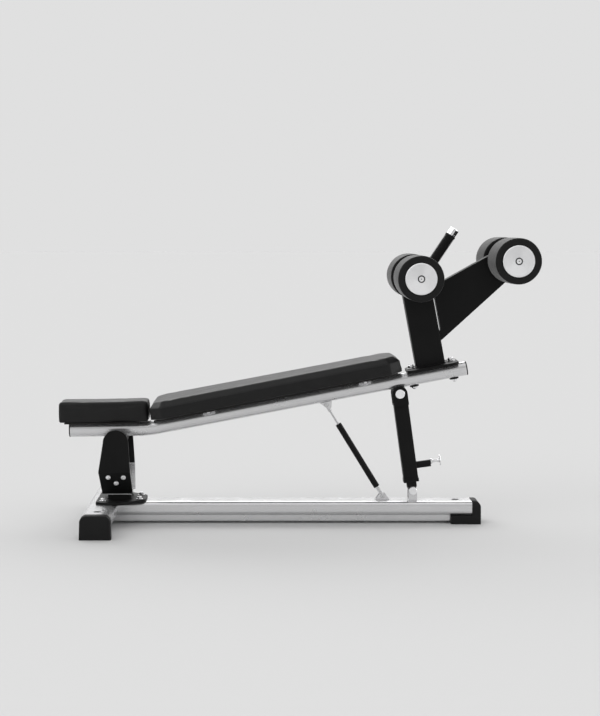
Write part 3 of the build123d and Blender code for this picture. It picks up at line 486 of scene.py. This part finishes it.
def add_nut(bm, matrix, radius, height, base=0.0):
    """Lock nut with a nylon collar, and the bolt's threaded end standing out of it."""
    flat = radius * HEX_FLAT
    rings = [
        (0, base), (flat * 0.97, base), (radius, base + 0.6 * MM), (radius, base + height * 0.62),
        (flat * 0.95, base + height * 0.70), (flat * 0.80, base + height),
        (flat * 0.62, base + height + 0.2 * MM), (flat * 0.56, base + height - 0.6 * MM),
        (0, base + height - 0.6 * MM),
    ]
    lathe(bm, rings, matrix, 60, hexed={2, 3})
    thread = flat * 0.54
    turns = [(0, base + height - MM)]
    for step in range(7):
        z = base + height - MM + step * 0.6 * MM
        turns.append((thread - (0.45 * MM if step % 2 else 0), z))
    turns += [(thread - 0.9 * MM, turns[-1][1] + 0.5 * MM), (0, turns[-1][1] + 0.5 * MM)]
    lathe(bm, turns, matrix, 36)


def add_dome_screw(bm, matrix, radius, height):
    """Low button head with a hexagon socket."""
    side = height * 0.55
    rings = [(0, 0), (radius * 0.98, 0), (radius, height * 0.10), (radius, side)]
    for step in range(1, 8):
        angle = math.pi / 2 * step / 8
        rings.append((radius * (0.80 + 0.20 * math.cos(angle)), side + height * 0.36 * math.sin(angle)))
    socket = radius * 0.36
    rings.append((radius * 0.60, height * 0.96))
    first = len(rings)
    rings += [(socket * 1.08, height), (socket, height * 0.94), (socket, side)]
    rings += [(0, height * 0.50)]
    lathe(bm, rings, matrix, 60, hexed={first, first + 1, first + 2})


def solid_boxes(node, place=Matrix.Identity(4)):
    """Low and high corners of each separate solid of a CAD node, in a placing matrix's axes."""
    bm = bmesh.new()
    bm.from_mesh(NODES[node].data)
    bmesh.ops.transform(bm, matrix=place.inverted(), verts=bm.verts)
    bmesh.ops.remove_doubles(bm, verts=bm.verts, dist=1e-6)
    seen = set()
    islands = []
    for start in bm.verts:
        if start.index in seen:
            continue
        stack, group = [start], []
        seen.add(start.index)
        while stack:
            vert = stack.pop()
            group.append(vert.co.copy())
            for edge in vert.link_edges:
                other = edge.other_vert(vert)
                if other.index not in seen:
                    seen.add(other.index)
                    stack.append(other)
        points = np.array(group)
        islands.append((Vector(points.min(0)), Vector(points.max(0))))
    bm.free()
    return islands


BRACKET_WASHER = 2 * MM
BRACKET_BOLT_RADIUS = 9 * MM


def bracket_bolts():
    """Bolts of the bracket plate, their heads turned by an angle that follows their place."""
    bm = bmesh.new()
    for low, high in solid_boxes("bracket_bolts"):
        middle = (low + high) / 2
        place = Matrix.Translation((middle.x, middle.y, low.z)) @ Matrix.Rotation(middle.x * 40, 4, "Z")
        add_washer(bm, place, (high.x - low.x) / 2, BRACKET_WASHER)
        head = high.z - low.z - BRACKET_WASHER
        add_hex_head(bm, place, BRACKET_BOLT_RADIUS, head, BRACKET_WASHER)
    make_piece("bracket_bolt_set", bm, "base", "chrome", replaced=["bracket_bolts"])


# The side plates' lower parts lean in by this much, and the screws stand square to them.
PLATE_LEAN = math.atan2(52, 83)
PLATE_SCREW_RADIUS = 8.2 * MM
PLATE_SCREW_HEIGHT = 5 * MM


def plate_screws():
    for side, name in ((-1, "near"), (1, "far")):
        node = f"plate_screws_{name}"
        bm = bmesh.new()
        outward = Vector((0, side * math.cos(PLATE_LEAN), -math.sin(PLATE_LEAN)))
        for low, high in solid_boxes(node):
            middle = (low + high) / 2
            place = axis_matrix(middle - outward * PLATE_SCREW_HEIGHT / 2, outward)
            add_dome_screw(bm, place, PLATE_SCREW_RADIUS, PLATE_SCREW_HEIGHT)
        make_piece(f"plate_screw_set_{name}", bm, "base", "chrome", ZINC, replaced=[node])


BASE_WASHER_RADIUS = 15.5 * MM
BASE_BOLT_RADIUS = 10 * MM
BASE_HEAD = 10.4 * MM
LOCK_NUT = 6.5 * MM
TOP_WASHER = 2.6 * MM
UNDER_WASHER = 5.5 * MM


def base_bolts():
    """Bolt heads and washers on the base plate, washers and lock nuts under the rail."""
    steel = bmesh.new()
    black = bmesh.new()
    rail = slope_matrix(RAIL_SLOPE)
    rise = rail.to_3x3() @ Vector((0, 0, 1))
    plate_low, _ = local_box("roller_base_plate", rail)
    for low, high in solid_boxes("base_bolts", rail):
        middle = (low + high) / 2
        if middle.z > plate_low.z:
            place = axis_matrix(rail @ Vector((middle.x, middle.y, low.z)), rise)
            add_washer(steel, place, BASE_WASHER_RADIUS, TOP_WASHER)
            add_hex_head(steel, place, BASE_BOLT_RADIUS, BASE_HEAD, TOP_WASHER)
        else:
            place = axis_matrix(rail @ Vector((middle.x, middle.y, high.z)), -rise)
            add_washer(black, place, BASE_WASHER_RADIUS, UNDER_WASHER)
            add_nut(steel, place, BASE_BOLT_RADIUS, LOCK_NUT, UNDER_WASHER)
    make_piece("base_bolt_set", steel, "rail", "chrome", replaced=["base_bolts"])
    make_piece("base_bolt_washers", black, "rail", "plastic")


PAD_WASHER = 1.4 * MM
PAD_WASHER_RADIUS = 10 * MM
PAD_BOLT_RADIUS = 8 * MM
PAD_BOLT_HEAD = 5.2 * MM


def pad_bolts():
    """Bolts up through the pad brackets, heads downward."""
    bm = bmesh.new()
    rail = slope_matrix(RAIL_SLOPE)
    for low, high in solid_boxes("pad_bolts", rail):
        middle = (low + high) / 2
        seat = rail @ Vector((middle.x, middle.y, high.z))
        place = axis_matrix(seat, rail.to_3x3() @ Vector((0, 0, -1)))
        add_washer(bm, place, PAD_WASHER_RADIUS, PAD_WASHER)
        add_hex_head(bm, place, PAD_BOLT_RADIUS, PAD_BOLT_HEAD, PAD_WASHER)
    make_piece("pad_bolt_set", bm, "rail", "chrome", replaced=["pad_bolts"])


# ---------------------------------------------------------------- leg rollers
FOAM_BORE = 21.3 * MM
FOAM_EDGE = 5 * MM
FOAM_CROWN = 0.7 * MM
FOAM_WAVE = 0.25 * MM
# The foam's outer end dips in behind the end disc.
RECESS_RADIUS = 54 * MM
HUB_RADIUS = 21 * MM
HUB_BORE = 12.7 * MM
DISC_HEIGHT = 5 * MM
# Radius of the groove that rings the disc's middle; its dark ring is painted shade.
RING_RADIUS = 11 * MM


def roller_axis(row, side):
    """Roller's middle and the direction of its outer end."""
    place = Vector(JOINTS[f"{row}_roller_{side}_spin"]["pos_m"])
    return place, Vector((0, -1 if side == "near" else 1, 0))


def foam_sleeve(row, side):
    """Foam tube with rolled edges and a faint crown."""
    node = f"{row}_foam_{side}"
    low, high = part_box(node)
    middle, outward = roller_axis(row, side)
    half = (high.y - low.y) / 2
    outer = (high.x - low.x) / 2
    shoulder = outer - FOAM_EDGE
    body = half - FOAM_EDGE
    rings = [(FOAM_BORE, -half + 1 * MM), (FOAM_BORE + 2 * MM, -half)]
    rings += [(outer * share, -half) for share in (0.5, 0.7)]
    for step in range(9):
        angle = math.pi / 2 * step / 8
        rings.append((shoulder + FOAM_EDGE * math.sin(angle), -body - FOAM_EDGE * math.cos(angle)))
    for step in range(1, 24):
        along = -1 + 2 * step / 24
        rings.append((outer + FOAM_CROWN * (1 - along * along), along * body))
    for step in range(9):
        angle = math.pi / 2 * (1 - step / 8)
        rings.append((shoulder + FOAM_EDGE * math.sin(angle), body + FOAM_EDGE * math.cos(angle)))
    rings += [(outer * share, half) for share in (0.86, 0.76)]
    rings += [
        (RECESS_RADIUS, half - 0.6 * MM), (RECESS_RADIUS - 2 * MM, half - 1.6 * MM),
        (FOAM_BORE + 2 * MM, half - 2 * MM), (FOAM_BORE, half - 3 * MM),
    ]
    rings.append(rings[0])
    bm = bmesh.new()
    lathe(bm, rings, axis_matrix(Vector((middle.x, (low.y + high.y) / 2, middle.z)), outward), 128)
    bmesh.ops.remove_doubles(bm, verts=bm.verts, dist=1e-6)
    for vert in bm.verts:
        spoke = Vector((vert.co.x - middle.x, 0, vert.co.z - middle.z))
        if spoke.length > outer * 0.8:
            wave = math.sin(5 * math.atan2(spoke.z, spoke.x) + vert.co.y * 18)
            vert.co += spoke.normalized() * FOAM_WAVE * wave
    piece = make_piece(f"{node}_sleeve", bm, f"{row}_roller_{side}", "foam", replaced=[node], degrees=60)


def roller_disc(row, side):
    """Shallow turned cone with a rolled rim, a groove and a small centre hole, both darkened with painted shade.
    """
    node = f"{row}_hub_{side}"
    low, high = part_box(node)
    middle, outward = roller_axis(row, side)
    face = -low.y if side == "near" else high.y
    base = Vector((middle.x, outward.y * (face - DISC_HEIGHT), middle.z))
    place = axis_matrix(base, outward)
    rim = (high.x - low.x) / 2
    rings = [
        (0, 0), (rim - 1 * MM, 0), (rim, 0.8 * MM), (rim - 0.3 * MM, 1.9 * MM), (rim - 1.6 * MM, 2.4 * MM),
    ]
    cone_start = rim - 2.6 * MM
    cone_end = RING_RADIUS + 1.4 * MM
    turns = 26
    for step in range(turns + 1):
        share = step / turns
        groove = 0.035 * MM if step % 2 else 0.0
        radius = cone_start + (cone_end - cone_start) * share
        rings.append((radius, 2.2 * MM + (DISC_HEIGHT - 2.6 * MM) * share - groove))
    rings += [
        (RING_RADIUS + 0.9 * MM, DISC_HEIGHT - 1.3 * MM), (RING_RADIUS, DISC_HEIGHT - 1.5 * MM),
        (RING_RADIUS - 2.2 * MM, DISC_HEIGHT - 1.3 * MM), (RING_RADIUS - 2.6 * MM, DISC_HEIGHT - 0.2 * MM),
        (5.2 * MM, DISC_HEIGHT - 0.05 * MM), (1.9 * MM, DISC_HEIGHT), (1.6 * MM, DISC_HEIGHT - 0.9 * MM),
        (0, DISC_HEIGHT - 1.0 * MM),
    ]
    bm = bmesh.new()
    lathe(bm, rings, place, 96)
    make_piece(f"{node}_disc", bm, f"{row}_roller_{side}", "roller_disc", replaced=[node], degrees=24)
    # Painted shade: a dark ring in the disc's groove and a dark spot in its centre hole.
    roller_painted_shade(f"{node}_painted_shade", place, f"{row}_roller_{side}")
    root = low.y if side == "far" else -high.y
    start = axis_matrix(Vector((middle.x, outward.y * root, middle.z)), outward)
    roller_tube(f"{node}_tube", start, face - DISC_HEIGHT - root, f"{row}_roller_{side}")


def roller_painted_shade(name, place, body):
    """Painted shade: a dark ring laid in the disc's groove and a dark spot at the bottom of its centre hole."""
    low = DISC_HEIGHT - 1.35 * MM
    high = DISC_HEIGHT - 0.9 * MM
    inner = RING_RADIUS - 2.5 * MM
    outer = RING_RADIUS + 0.8 * MM
    spot = 1.5 * MM
    spot_top = DISC_HEIGHT - 0.5 * MM
    bm = bmesh.new()
    lathe(bm, [(inner, low), (outer, low), (outer, high), (inner, high), (inner, low)], place, 64)
    lathe(bm, [(0, low), (spot, low), (spot, spot_top), (0, spot_top)], place, 24)
    # Dark plastic standing in for the shade in the groove and the hole.
    make_piece(name, bm, body, "plastic")


def roller_tube(name, place, length, body):
    """Plain tube that the foam sits on and that turns on the axle."""
    end = length - 1 * MM
    rings = [
        (HUB_BORE, 0.2 * MM), (HUB_RADIUS - 0.8 * MM, 0), (HUB_RADIUS, 0.8 * MM), (HUB_RADIUS, end),
        (HUB_BORE, end), (HUB_BORE, 0.2 * MM),
    ]
    bm = bmesh.new()
    lathe(bm, rings, place, 64)
    make_piece(name, bm, body, "plastic")


# --------------------------------------------------------------------- handle
HANDLE_LEAN = math.radians(33.5)
BAR_RADIUS = 12.6 * MM
GRIP_RADIUS = 18.2 * MM
PLUG_RADIUS = 16.4 * MM
RIB_PITCH = 4.4 * MM


def handle():
    """Ribbed rubber grip and a turned end plug on the short handle bar."""
    tip_points = local_points("handle_plug", Matrix.Identity(4))
    axis = Vector((math.sin(HANDLE_LEAN), 0, math.cos(HANDLE_LEAN)))
    along_tip = tip_points @ np.array(axis)
    grip_points = local_points("handle_grip", Matrix.Identity(4))
    along_grip = grip_points @ np.array(axis)
    centre = Vector(tip_points.mean(0))
    base = centre - axis * (centre.dot(axis) - along_grip.min())
    base.y = 0
    grip_length = along_grip.max() - along_grip.min()
    ribbed_grip(axis_matrix(base, axis), grip_length)
    end_plug(axis_matrix(base + axis * grip_length, axis), along_tip.max() - along_tip.min())


def ribbed_grip(place, length):
    collar = GRIP_RADIUS + 0.4 * MM
    end = length - 0.2 * MM
    rings = [(BAR_RADIUS, 0.2 * MM), (GRIP_RADIUS, 0.2 * MM), (collar, 1.0 * MM), (collar, 4 * MM)]
    for index in range(int((length - 11 * MM) / RIB_PITCH)):
        z = 5 * MM + index * RIB_PITCH
        rings += [
            (GRIP_RADIUS - 2.4 * MM, z), (GRIP_RADIUS - 2.4 * MM, z + 1.2 * MM),
            (GRIP_RADIUS - 0.5 * MM, z + 1.6 * MM), (GRIP_RADIUS, z + 2.4 * MM),
            (GRIP_RADIUS - 0.5 * MM, z + 3.5 * MM),
        ]
    rings += [
        (GRIP_RADIUS - 1.3 * MM, length - 6 * MM), (collar, length - 5 * MM), (collar, length - 1 * MM),
        (GRIP_RADIUS - 0.4 * MM, end), (BAR_RADIUS, end),
    ]
    rings.append(rings[0])
    bm = bmesh.new()
    lathe(bm, rings, place, 64)
    bmesh.ops.remove_doubles(bm, verts=bm.verts, dist=1e-6)
    make_piece("handle_grip_ribbed", bm, "rail", "rubber", replaced=["handle_grip"])


def end_plug(place, length):
    """Turned plug with one groove, a rounded end and a shallow dish."""
    rounding = 4 * MM
    narrow = PLUG_RADIUS - 0.9 * MM
    rings = [
        (0, 0), (PLUG_RADIUS - 0.8 * MM, 0), (PLUG_RADIUS, 0.7 * MM), (PLUG_RADIUS, 4.2 * MM),
        (narrow, 4.7 * MM), (narrow, 5.5 * MM), (PLUG_RADIUS, 6 * MM), (PLUG_RADIUS, length - rounding),
    ]
    for step in range(1, 7):
        angle = math.pi / 2 * step / 6
        inset = 3.6 * MM * (1 - math.cos(angle))
        rings.append((PLUG_RADIUS - inset, length - rounding + rounding * math.sin(angle)))
    rings += [
        (PLUG_RADIUS * 0.4, length - 0.1 * MM), (PLUG_RADIUS * 0.34, length - 0.8 * MM),
        (0, length - 0.9 * MM),
    ]
    bm = bmesh.new()
    lathe(bm, rings, place, 64)
    make_piece("handle_end_plug", bm, "rail", "chrome", replaced=["handle_plug"])


# ------------------------------------------------------------------ pull pin
# The part of the pull pin that stands out of its barrel.
KNOB_LENGTH = 35 * MM
KNURLS = 36


def pull_pin():
    """Sprung plunger with a necked shank and a knurled pull disc."""
    direction = Vector(JOINTS["lock_pull"]["axis"])
    points = local_points("lock_plunger", Matrix.Identity(4))
    along = points @ np.array(direction)
    centre = Vector((points.min(0) + points.max(0)) / 2)
    base = centre + direction * (along.min() - centre.dot(direction))
    length = along.max() - along.min()
    place = axis_matrix(base, direction)
    shank = length - KNOB_LENGTH
    rings = [
        (0, 0), (3.6 * MM, 0), (5 * MM, 1.4 * MM), (5 * MM, shank - 0.2 * MM), (8 * MM, shank),
        (9 * MM, shank + 0.8 * MM), (9 * MM, shank + 5 * MM), (8.2 * MM, shank + 5.8 * MM),
        (5.4 * MM, shank + 6.2 * MM), (5.2 * MM, shank + 23.4 * MM), (6.8 * MM, shank + 24 * MM),
        (7.2 * MM, shank + 25 * MM), (7.2 * MM, shank + 29.6 * MM), (17.4 * MM, shank + 30.1 * MM),
        (18.8 * MM, shank + 30.9 * MM), (18.8 * MM, shank + 34 * MM), (17.6 * MM, length),
        (9 * MM, length - 0.2 * MM), (8 * MM, length - 0.7 * MM), (0, length - 0.8 * MM),
    ]
    bm = bmesh.new()
    lathe(bm, rings, place, 72)
    back = place.inverted()
    for vert in bm.verts:
        local = back @ vert.co
        radius = math.hypot(local.x, local.y)
        if radius > 18.5 * MM:
            angle = math.atan2(local.y, local.x)
            notch = 0.5 * MM * (1 + math.cos(KNURLS * angle)) / 2
            local.x *= 1 - notch / radius
            local.y *= 1 - notch / radius
            vert.co = place @ local
    make_piece("lock_pull_knob", bm, "lock_pin", "chrome", replaced=["lock_plunger"])


# -------------------------------------------------------------------- welds
def weld_bead(name, path, body, radius, closed=False):
    """Rippled fillet weld laid along a path."""
    points = spaced([Vector(p) for p in path], 0.7 * MM, closed)
    bm = bmesh.new()
    tube_along(bm, points, lambda i: radius * (0.90 + 0.10 * math.cos(i * 2 * math.pi / 4)), 8, closed)
    make_piece(name, bm, body, "black_paint", degrees=75)


def rounded_rectangle(half_x, half_y, radius):
    corners = [Vector((sx * half_x, sy * half_y, 0)) for sx, sy in ((-1, -1), (1, -1), (1, 1), (-1, 1))]
    return arc_corners(corners, radius)


def ring_round(low, high, gap, radius):
    """Rounded rectangle at a box's foot, a little outside its sides."""
    centre = (low + high) / 2
    ring = rounded_rectangle((high.x - low.x) / 2 + gap, (high.y - low.y) / 2 + gap, radius)
    return [p + Vector((centre.x, centre.y, low.z + 0.8 * MM)) for p in ring]


# Height of the knee axle above the rail's own zero line, square to the rail.
KNEE_AXLE_RISE = 341.2 * MM
# Ends of the two weld runs that join the arm's edge to the post, above the same line.
ARM_WELDS = ((113 * MM, 145 * MM), (272 * MM, 293 * MM))


def welds():
    rail = slope_matrix(RAIL_SLOPE)
    path = [rail @ p for p in ring_round(*local_box("roller_post", rail), 0.6 * MM, 6 * MM)]
    weld_bead("roller_post_weld", path, "rail", 2.4 * MM, closed=True)
    arm_low, arm_high = local_box("roller_arm", rail)
    axle_low, axle_high = local_box("knee_axle", rail)
    zero = (axle_low.z + axle_high.z) / 2 - KNEE_AXLE_RISE
    for side, name in ((-1, "near"), (1, "far")):
        for index, heights in enumerate(ARM_WELDS):
            y = side * (arm_high.y + 0.4 * MM)
            path = [rail @ Vector((arm_low.x + 0.5 * MM, y, zero + height)) for height in heights]
            weld_bead(f"arm_weld_{index}_{name}", path, "rail", 2.0 * MM)
    path = ring_round(*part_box("upright"), 0.5 * MM, 10 * MM)
    weld_bead("upright_weld", path, "base", 2.2 * MM, closed=True)


# --------------------------------------------------------------------- pads
PAD_VOXEL = 4.5 * MM
PAD_SHRINK = 1.6 * MM
# How far the simulation may move the cover.
PAD_CAP = 1.8 * MM
PAD_PRESSURE = 4.0
CLOTH_FRAMES = 20
# Height of the underside's band that the board holds.
BOARD_GRIP = 4 * MM
# Heights of the sewn seams above each pad's underside.
BACK_SEAMS = (41.5 * MM,)
HEAD_SEAMS = (66 * MM,)
SEAM_CORNER = 4 * MM
SEAM_DEPTH = 0.9 * MM
SEAM_WIDTH = 5 * MM
STITCH_PITCH = 5.5 * MM
STITCH_LENGTH = 4.0 * MM
THREAD_RADIUS = 0.45 * MM


def pad_start(name, node, place):
    """Copy of the CAD pad, slightly smaller, in the pad's own axes, and its low corner."""
    bm = bmesh.new()
    bm.from_mesh(NODES[node].data)
    bmesh.ops.transform(bm, matrix=place.inverted(), verts=bm.verts)
    bmesh.ops.remove_doubles(bm, verts=bm.verts, dist=1e-6)
    low, high = local_box(node, place)
    middle, half = (low + high) / 2, (high - low) / 2
    for vert in bm.verts:
        for axis in range(3):
            vert.co[axis] = middle[axis] + (vert.co[axis] - middle[axis]) * (1 - PAD_SHRINK / half[axis])
    mesh = bpy.data.meshes.new(name)
    bm.to_mesh(mesh)
    bm.free()
    pad = bpy.data.objects.new(name, mesh)
    bpy.context.scene.collection.objects.link(pad)
    return pad, low


def apply_modifiers(piece):
    bpy.context.view_layer.update()
    graph = bpy.context.evaluated_depsgraph_get()
    mesh = bpy.data.meshes.new_from_object(piece.evaluated_get(graph))
    piece.modifiers.clear()
    old = piece.data
    piece.data = mesh
    bpy.data.meshes.remove(old)


def inflate(pad, floor_height):
    """Cloth simulation under pressure; the underside stays where the board holds it."""
    group = pad.vertex_groups.new(name="board")
    held = [v.index for v in pad.data.vertices if v.co.z < floor_height + BOARD_GRIP]
    group.add(held, 1.0, "REPLACE")
    rest = np.array([v.co for v in pad.data.vertices])
    cloth = pad.modifiers.new("Cloth", "CLOTH")
    settings = cloth.settings
    settings.use_pressure = True
    settings.uniform_pressure_force = PAD_PRESSURE
    settings.effector_weights.gravity = 0.0
    settings.vertex_group_mass = "board"
    settings.tension_stiffness = 25
    settings.compression_stiffness = 25
    settings.bending_stiffness = 2
    scene = bpy.context.scene
    for step in range(1, CLOTH_FRAMES + 1):
        scene.frame_set(step)
    graph = bpy.context.evaluated_depsgraph_get()
    shaped = pad.evaluated_get(graph).data
    moved = np.array([v.co for v in shaped.vertices]) - rest
    pad.modifiers.clear()
    scene.frame_set(1)
    reach = np.linalg.norm(moved, axis=1)
    scale = PAD_CAP * np.tanh(reach / PAD_CAP) / np.maximum(reach, 1e-9)
    settled = rest + moved * scale[:, None]
    for vert, point in zip(pad.data.vertices, settled):
        vert.co = point


def pad_outline(node, place, height):
    """Convex plan outline of the CAD pad at a height, in the pad's own axes."""
    points = local_points(node, place)
    near = points[np.abs(points[:, 2] - height) < 1.5 * MM]
    plan = sorted({(round(p[0], 5), round(p[1], 5)) for p in near})

    def half(seq):
        chain = []
        for p in seq:
            while len(chain) > 1:
                (ax, ay), (bx, by) = chain[-2], chain[-1]
                if (bx - ax) * (p[1] - ay) - (by - ay) * (p[0] - ax) > 1e-9:
                    break
                chain.pop()
            chain.append(p)
        return chain[:-1]

    hull = half(plan) + half(plan[::-1])
    return [Vector((x, y, height)) for x, y in hull]


def press_seam(pad, path):
    """Pulls the cover in along a sewn seam."""
    samples = np.array([p[:] for p in spaced(path, 2 * MM, closed=True)])
    coords = np.array([v.co for v in pad.data.vertices])
    normals = np.array([v.normal for v in pad.data.vertices])
    near = np.full(len(coords), 1.0)
    batch = 4000
    for start in range(0, len(coords), batch):
        block = coords[start:start + batch]
        distance = np.sqrt(((block[:, None, :] - samples[None, :, :]) ** 2).sum(2)).min(1)
        near[start:start + batch] = distance
    pull = SEAM_DEPTH * np.exp(-((near / (0.45 * SEAM_WIDTH)) ** 2))
    for vert, normal, amount in zip(pad.data.vertices, normals, pull):
        if amount > 1e-6:
            vert.co -= Vector(normal) * amount


def stitch_row(name, pad, path, body):
    """Thread stitches laid on the cover along a seam."""
    bm_pad = bmesh.new()
    bm_pad.from_mesh(pad.data)
    tree = BVHTree.FromBMesh(bm_pad)
    bm = bmesh.new()
    points = spaced(path, STITCH_PITCH, closed=True)
    count = len(points)
    for index, point in enumerate(points):
        along = (points[(index + 1) % count] - point).normalized()
        laid = []
        for share, lift in ((-0.5, -0.5), (-0.36, 0.25), (0.0, 0.55), (0.36, 0.25), (0.5, -0.5)):
            spot, normal, _, _ = tree.find_nearest(point + along * STITCH_LENGTH * share)
            laid.append(spot + normal * THREAD_RADIUS * lift)
        tube_along(bm, laid, lambda i: THREAD_RADIUS * (0.7 if i in (0, 4) else 1.0), 6)
    bm_pad.free()
    make_piece(name, bm, body, "upholstery", THREAD, degrees=80)


def padded_cover(name, node, slope, seam_heights):
    """Crowned cover for a CAD pad, sewn along its edges."""
    place = slope_matrix(slope)
    pad, low = pad_start(name, node, place)
    remesh = pad.modifiers.new("Remesh", "REMESH")
    remesh.mode = "VOXEL"
    remesh.voxel_size = PAD_VOXEL
    smooth = pad.modifiers.new("Smooth", "SMOOTH")
    smooth.factor = 0.5
    smooth.iterations = 2
    apply_modifiers(pad)
    inflate(pad, low.z)
    divided = pad.modifiers.new("Subdivision", "SUBSURF")
    divided.levels = 1
    divided.render_levels = 1
    apply_modifiers(pad)
    paths = []
    for height in seam_heights:
        path = arc_corners(pad_outline(node, place, low.z + height), SEAM_CORNER, 3)
        press_seam(pad, path)
        paths.append(path)
    pad.data.transform(place)
    pad.data.materials.clear()
    pad.data.materials.append(MATERIALS["upholstery"])
    for polygon in pad.data.polygons:
        polygon.use_smooth = True
    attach(pad, "rail")
    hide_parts(node)
    for index, path in enumerate(paths):
        stitch_row(f"{name}_stitches_{index}", pad, [place @ p for p in path], "rail")


# ---------------------------------------------------------------------- stage
# Strengths of the lights; a direction points from the bench to its light.
TOP_LIGHT = 0.55
BACK_LIGHT = 3.2
KEY_LIGHT = 1.4
KEY_DIRECTION = (-0.55, -0.62, 0.56)
RIM_LIGHT = 2.0
RIM_DIRECTION = (0.95, -0.10, 0.25)
FRONT_LIGHT = 0.68
BACKDROP = 0.745
FLOOR_ALBEDO = 0.58
FLOOR_HALF = 60


def environment():
    """Soft studio: a bright band behind, softer above and in front, two round lights, pale backdrop."""
    world = bpy.data.worlds.new("studio")
    world.use_nodes = True
    bpy.context.scene.world = world
    tree = world.node_tree
    tree.nodes.clear()
    output = node_of(tree, "ShaderNodeOutputWorld")
    coords = node_of(tree, "ShaderNodeTexCoord")
    split = node_of(tree, "ShaderNodeSeparateXYZ")
    tree.links.new(coords.outputs["Generated"], split.inputs["Vector"])

    def ramped(value, start, end, amount):
        node = node_of(tree, "ShaderNodeMapRange", interpolation_type="SMOOTHSTEP")
        node.inputs["From Min"].default_value = start
        node.inputs["From Max"].default_value = end
        node.inputs["To Min"].default_value = 0.0
        node.inputs["To Max"].default_value = amount
        tree.links.new(value, node.inputs["Value"])
        return node.outputs["Result"]

    def glow(axis, start, end, amount):
        return ramped(split.outputs[axis], start, end, amount)

    def patch(direction, start, end, amount):
        """Round soft patch of light about a direction; start and end are cosines."""
        dot = node_of(tree, "ShaderNodeVectorMath", operation="DOT_PRODUCT")
        dot.inputs[1].default_value = Vector(direction).normalized()
        tree.links.new(coords.outputs["Generated"], dot.inputs[0])
        return ramped(dot.outputs["Value"], start, end, amount)

    def product(first, second):
        node = node_of(tree, "ShaderNodeMath", operation="MULTIPLY")
        tree.links.new(first, node.inputs[0])
        tree.links.new(second, node.inputs[1])
        return node.outputs["Value"]

    def summed(first, second):
        node = node_of(tree, "ShaderNodeMath", operation="ADD")
        tree.links.new(first, node.inputs[0])
        tree.links.new(second, node.inputs[1])
        return node.outputs["Value"]

    band = product(glow("Y", 0.05, 0.55, BACK_LIGHT), glow("Z", 0.20, 0.50, 1.0))
    total = glow("Z", 0.45, 0.95, TOP_LIGHT)
    total = summed(total, product(band, ramped(split.outputs["Z"], 0.85, 0.60, 1.0)))
    total = summed(total, patch(KEY_DIRECTION, 0.88, 0.97, KEY_LIGHT))
    total = summed(total, patch(RIM_DIRECTION, 0.90, 0.98, RIM_LIGHT))
    add = node_of(tree, "ShaderNodeMath", operation="ADD")
    add.inputs[1].default_value = FRONT_LIGHT
    tree.links.new(total, add.inputs[0])
    lit = node_of(tree, "ShaderNodeBackground")
    tree.links.new(add.outputs["Value"], lit.inputs["Strength"])
    seen = node_of(tree, "ShaderNodeBackground")
    seen.inputs["Color"].default_value = (BACKDROP, BACKDROP, BACKDROP, 1)
    mix = node_of(tree, "ShaderNodeMixShader")
    rays = node_of(tree, "ShaderNodeLightPath")
    tree.links.new(rays.outputs["Is Camera Ray"], mix.inputs["Fac"])
    tree.links.new(lit.outputs["Background"], mix.inputs[1])
    tree.links.new(seen.outputs["Background"], mix.inputs[2])
    tree.links.new(mix.outputs["Shader"], output.inputs["Surface"])


def floor():
    bm = bmesh.new()
    bmesh.ops.create_grid(bm, x_segments=8, y_segments=8, size=FLOOR_HALF)
    mesh = bpy.data.meshes.new("studio_floor")
    bm.to_mesh(mesh)
    bm.free()
    plane = bpy.data.objects.new("studio_floor", mesh)
    bpy.context.scene.collection.objects.link(plane)
    material, _, shader, _ = new_material("studio_floor", 0.0, 0.0)
    shader.inputs["Base Color"].default_value = (FLOOR_ALBEDO, FLOOR_ALBEDO, FLOOR_ALBEDO, 1)
    shader.inputs["Roughness"].default_value = 1.0
    mesh.materials.append(material)


CAMERA_PLACE = (-0.1167, -5.461, 1.0185)
CAMERA_DOWN = math.radians(4.705)
CAMERA_LENS = 80.15
CAMERA_SHIFT = 0.0527


def camera():
    """Long lens a little above the rollers, looking slightly down along +Y."""
    data = bpy.data.cameras.new("camera")
    data.sensor_fit = "AUTO"
    data.sensor_width = 36
    data.lens = CAMERA_LENS
    data.shift_x = CAMERA_SHIFT
    item = bpy.data.objects.new("camera", data)
    item.location = CAMERA_PLACE
    item.rotation_euler = (math.pi / 2 - CAMERA_DOWN, 0, 0)
    bpy.context.scene.collection.objects.link(item)
    bpy.context.scene.camera = item


bracket_bolts()
plate_screws()
base_bolts()
pad_bolts()
for row_name in ("knee", "foot"):
    for side_name in ("near", "far"):
        foam_sleeve(row_name, side_name)
        roller_disc(row_name, side_name)
handle()
pull_pin()
welds()
padded_cover("back_pad_cover", "back_pad", RAIL_SLOPE, BACK_SEAMS)
padded_cover("head_pad_cover", "head_pad", HEAD_SLOPE, HEAD_SEAMS)
environment()
floor()
camera()
bpy.context.scene.view_settings.view_transform = "Standard"
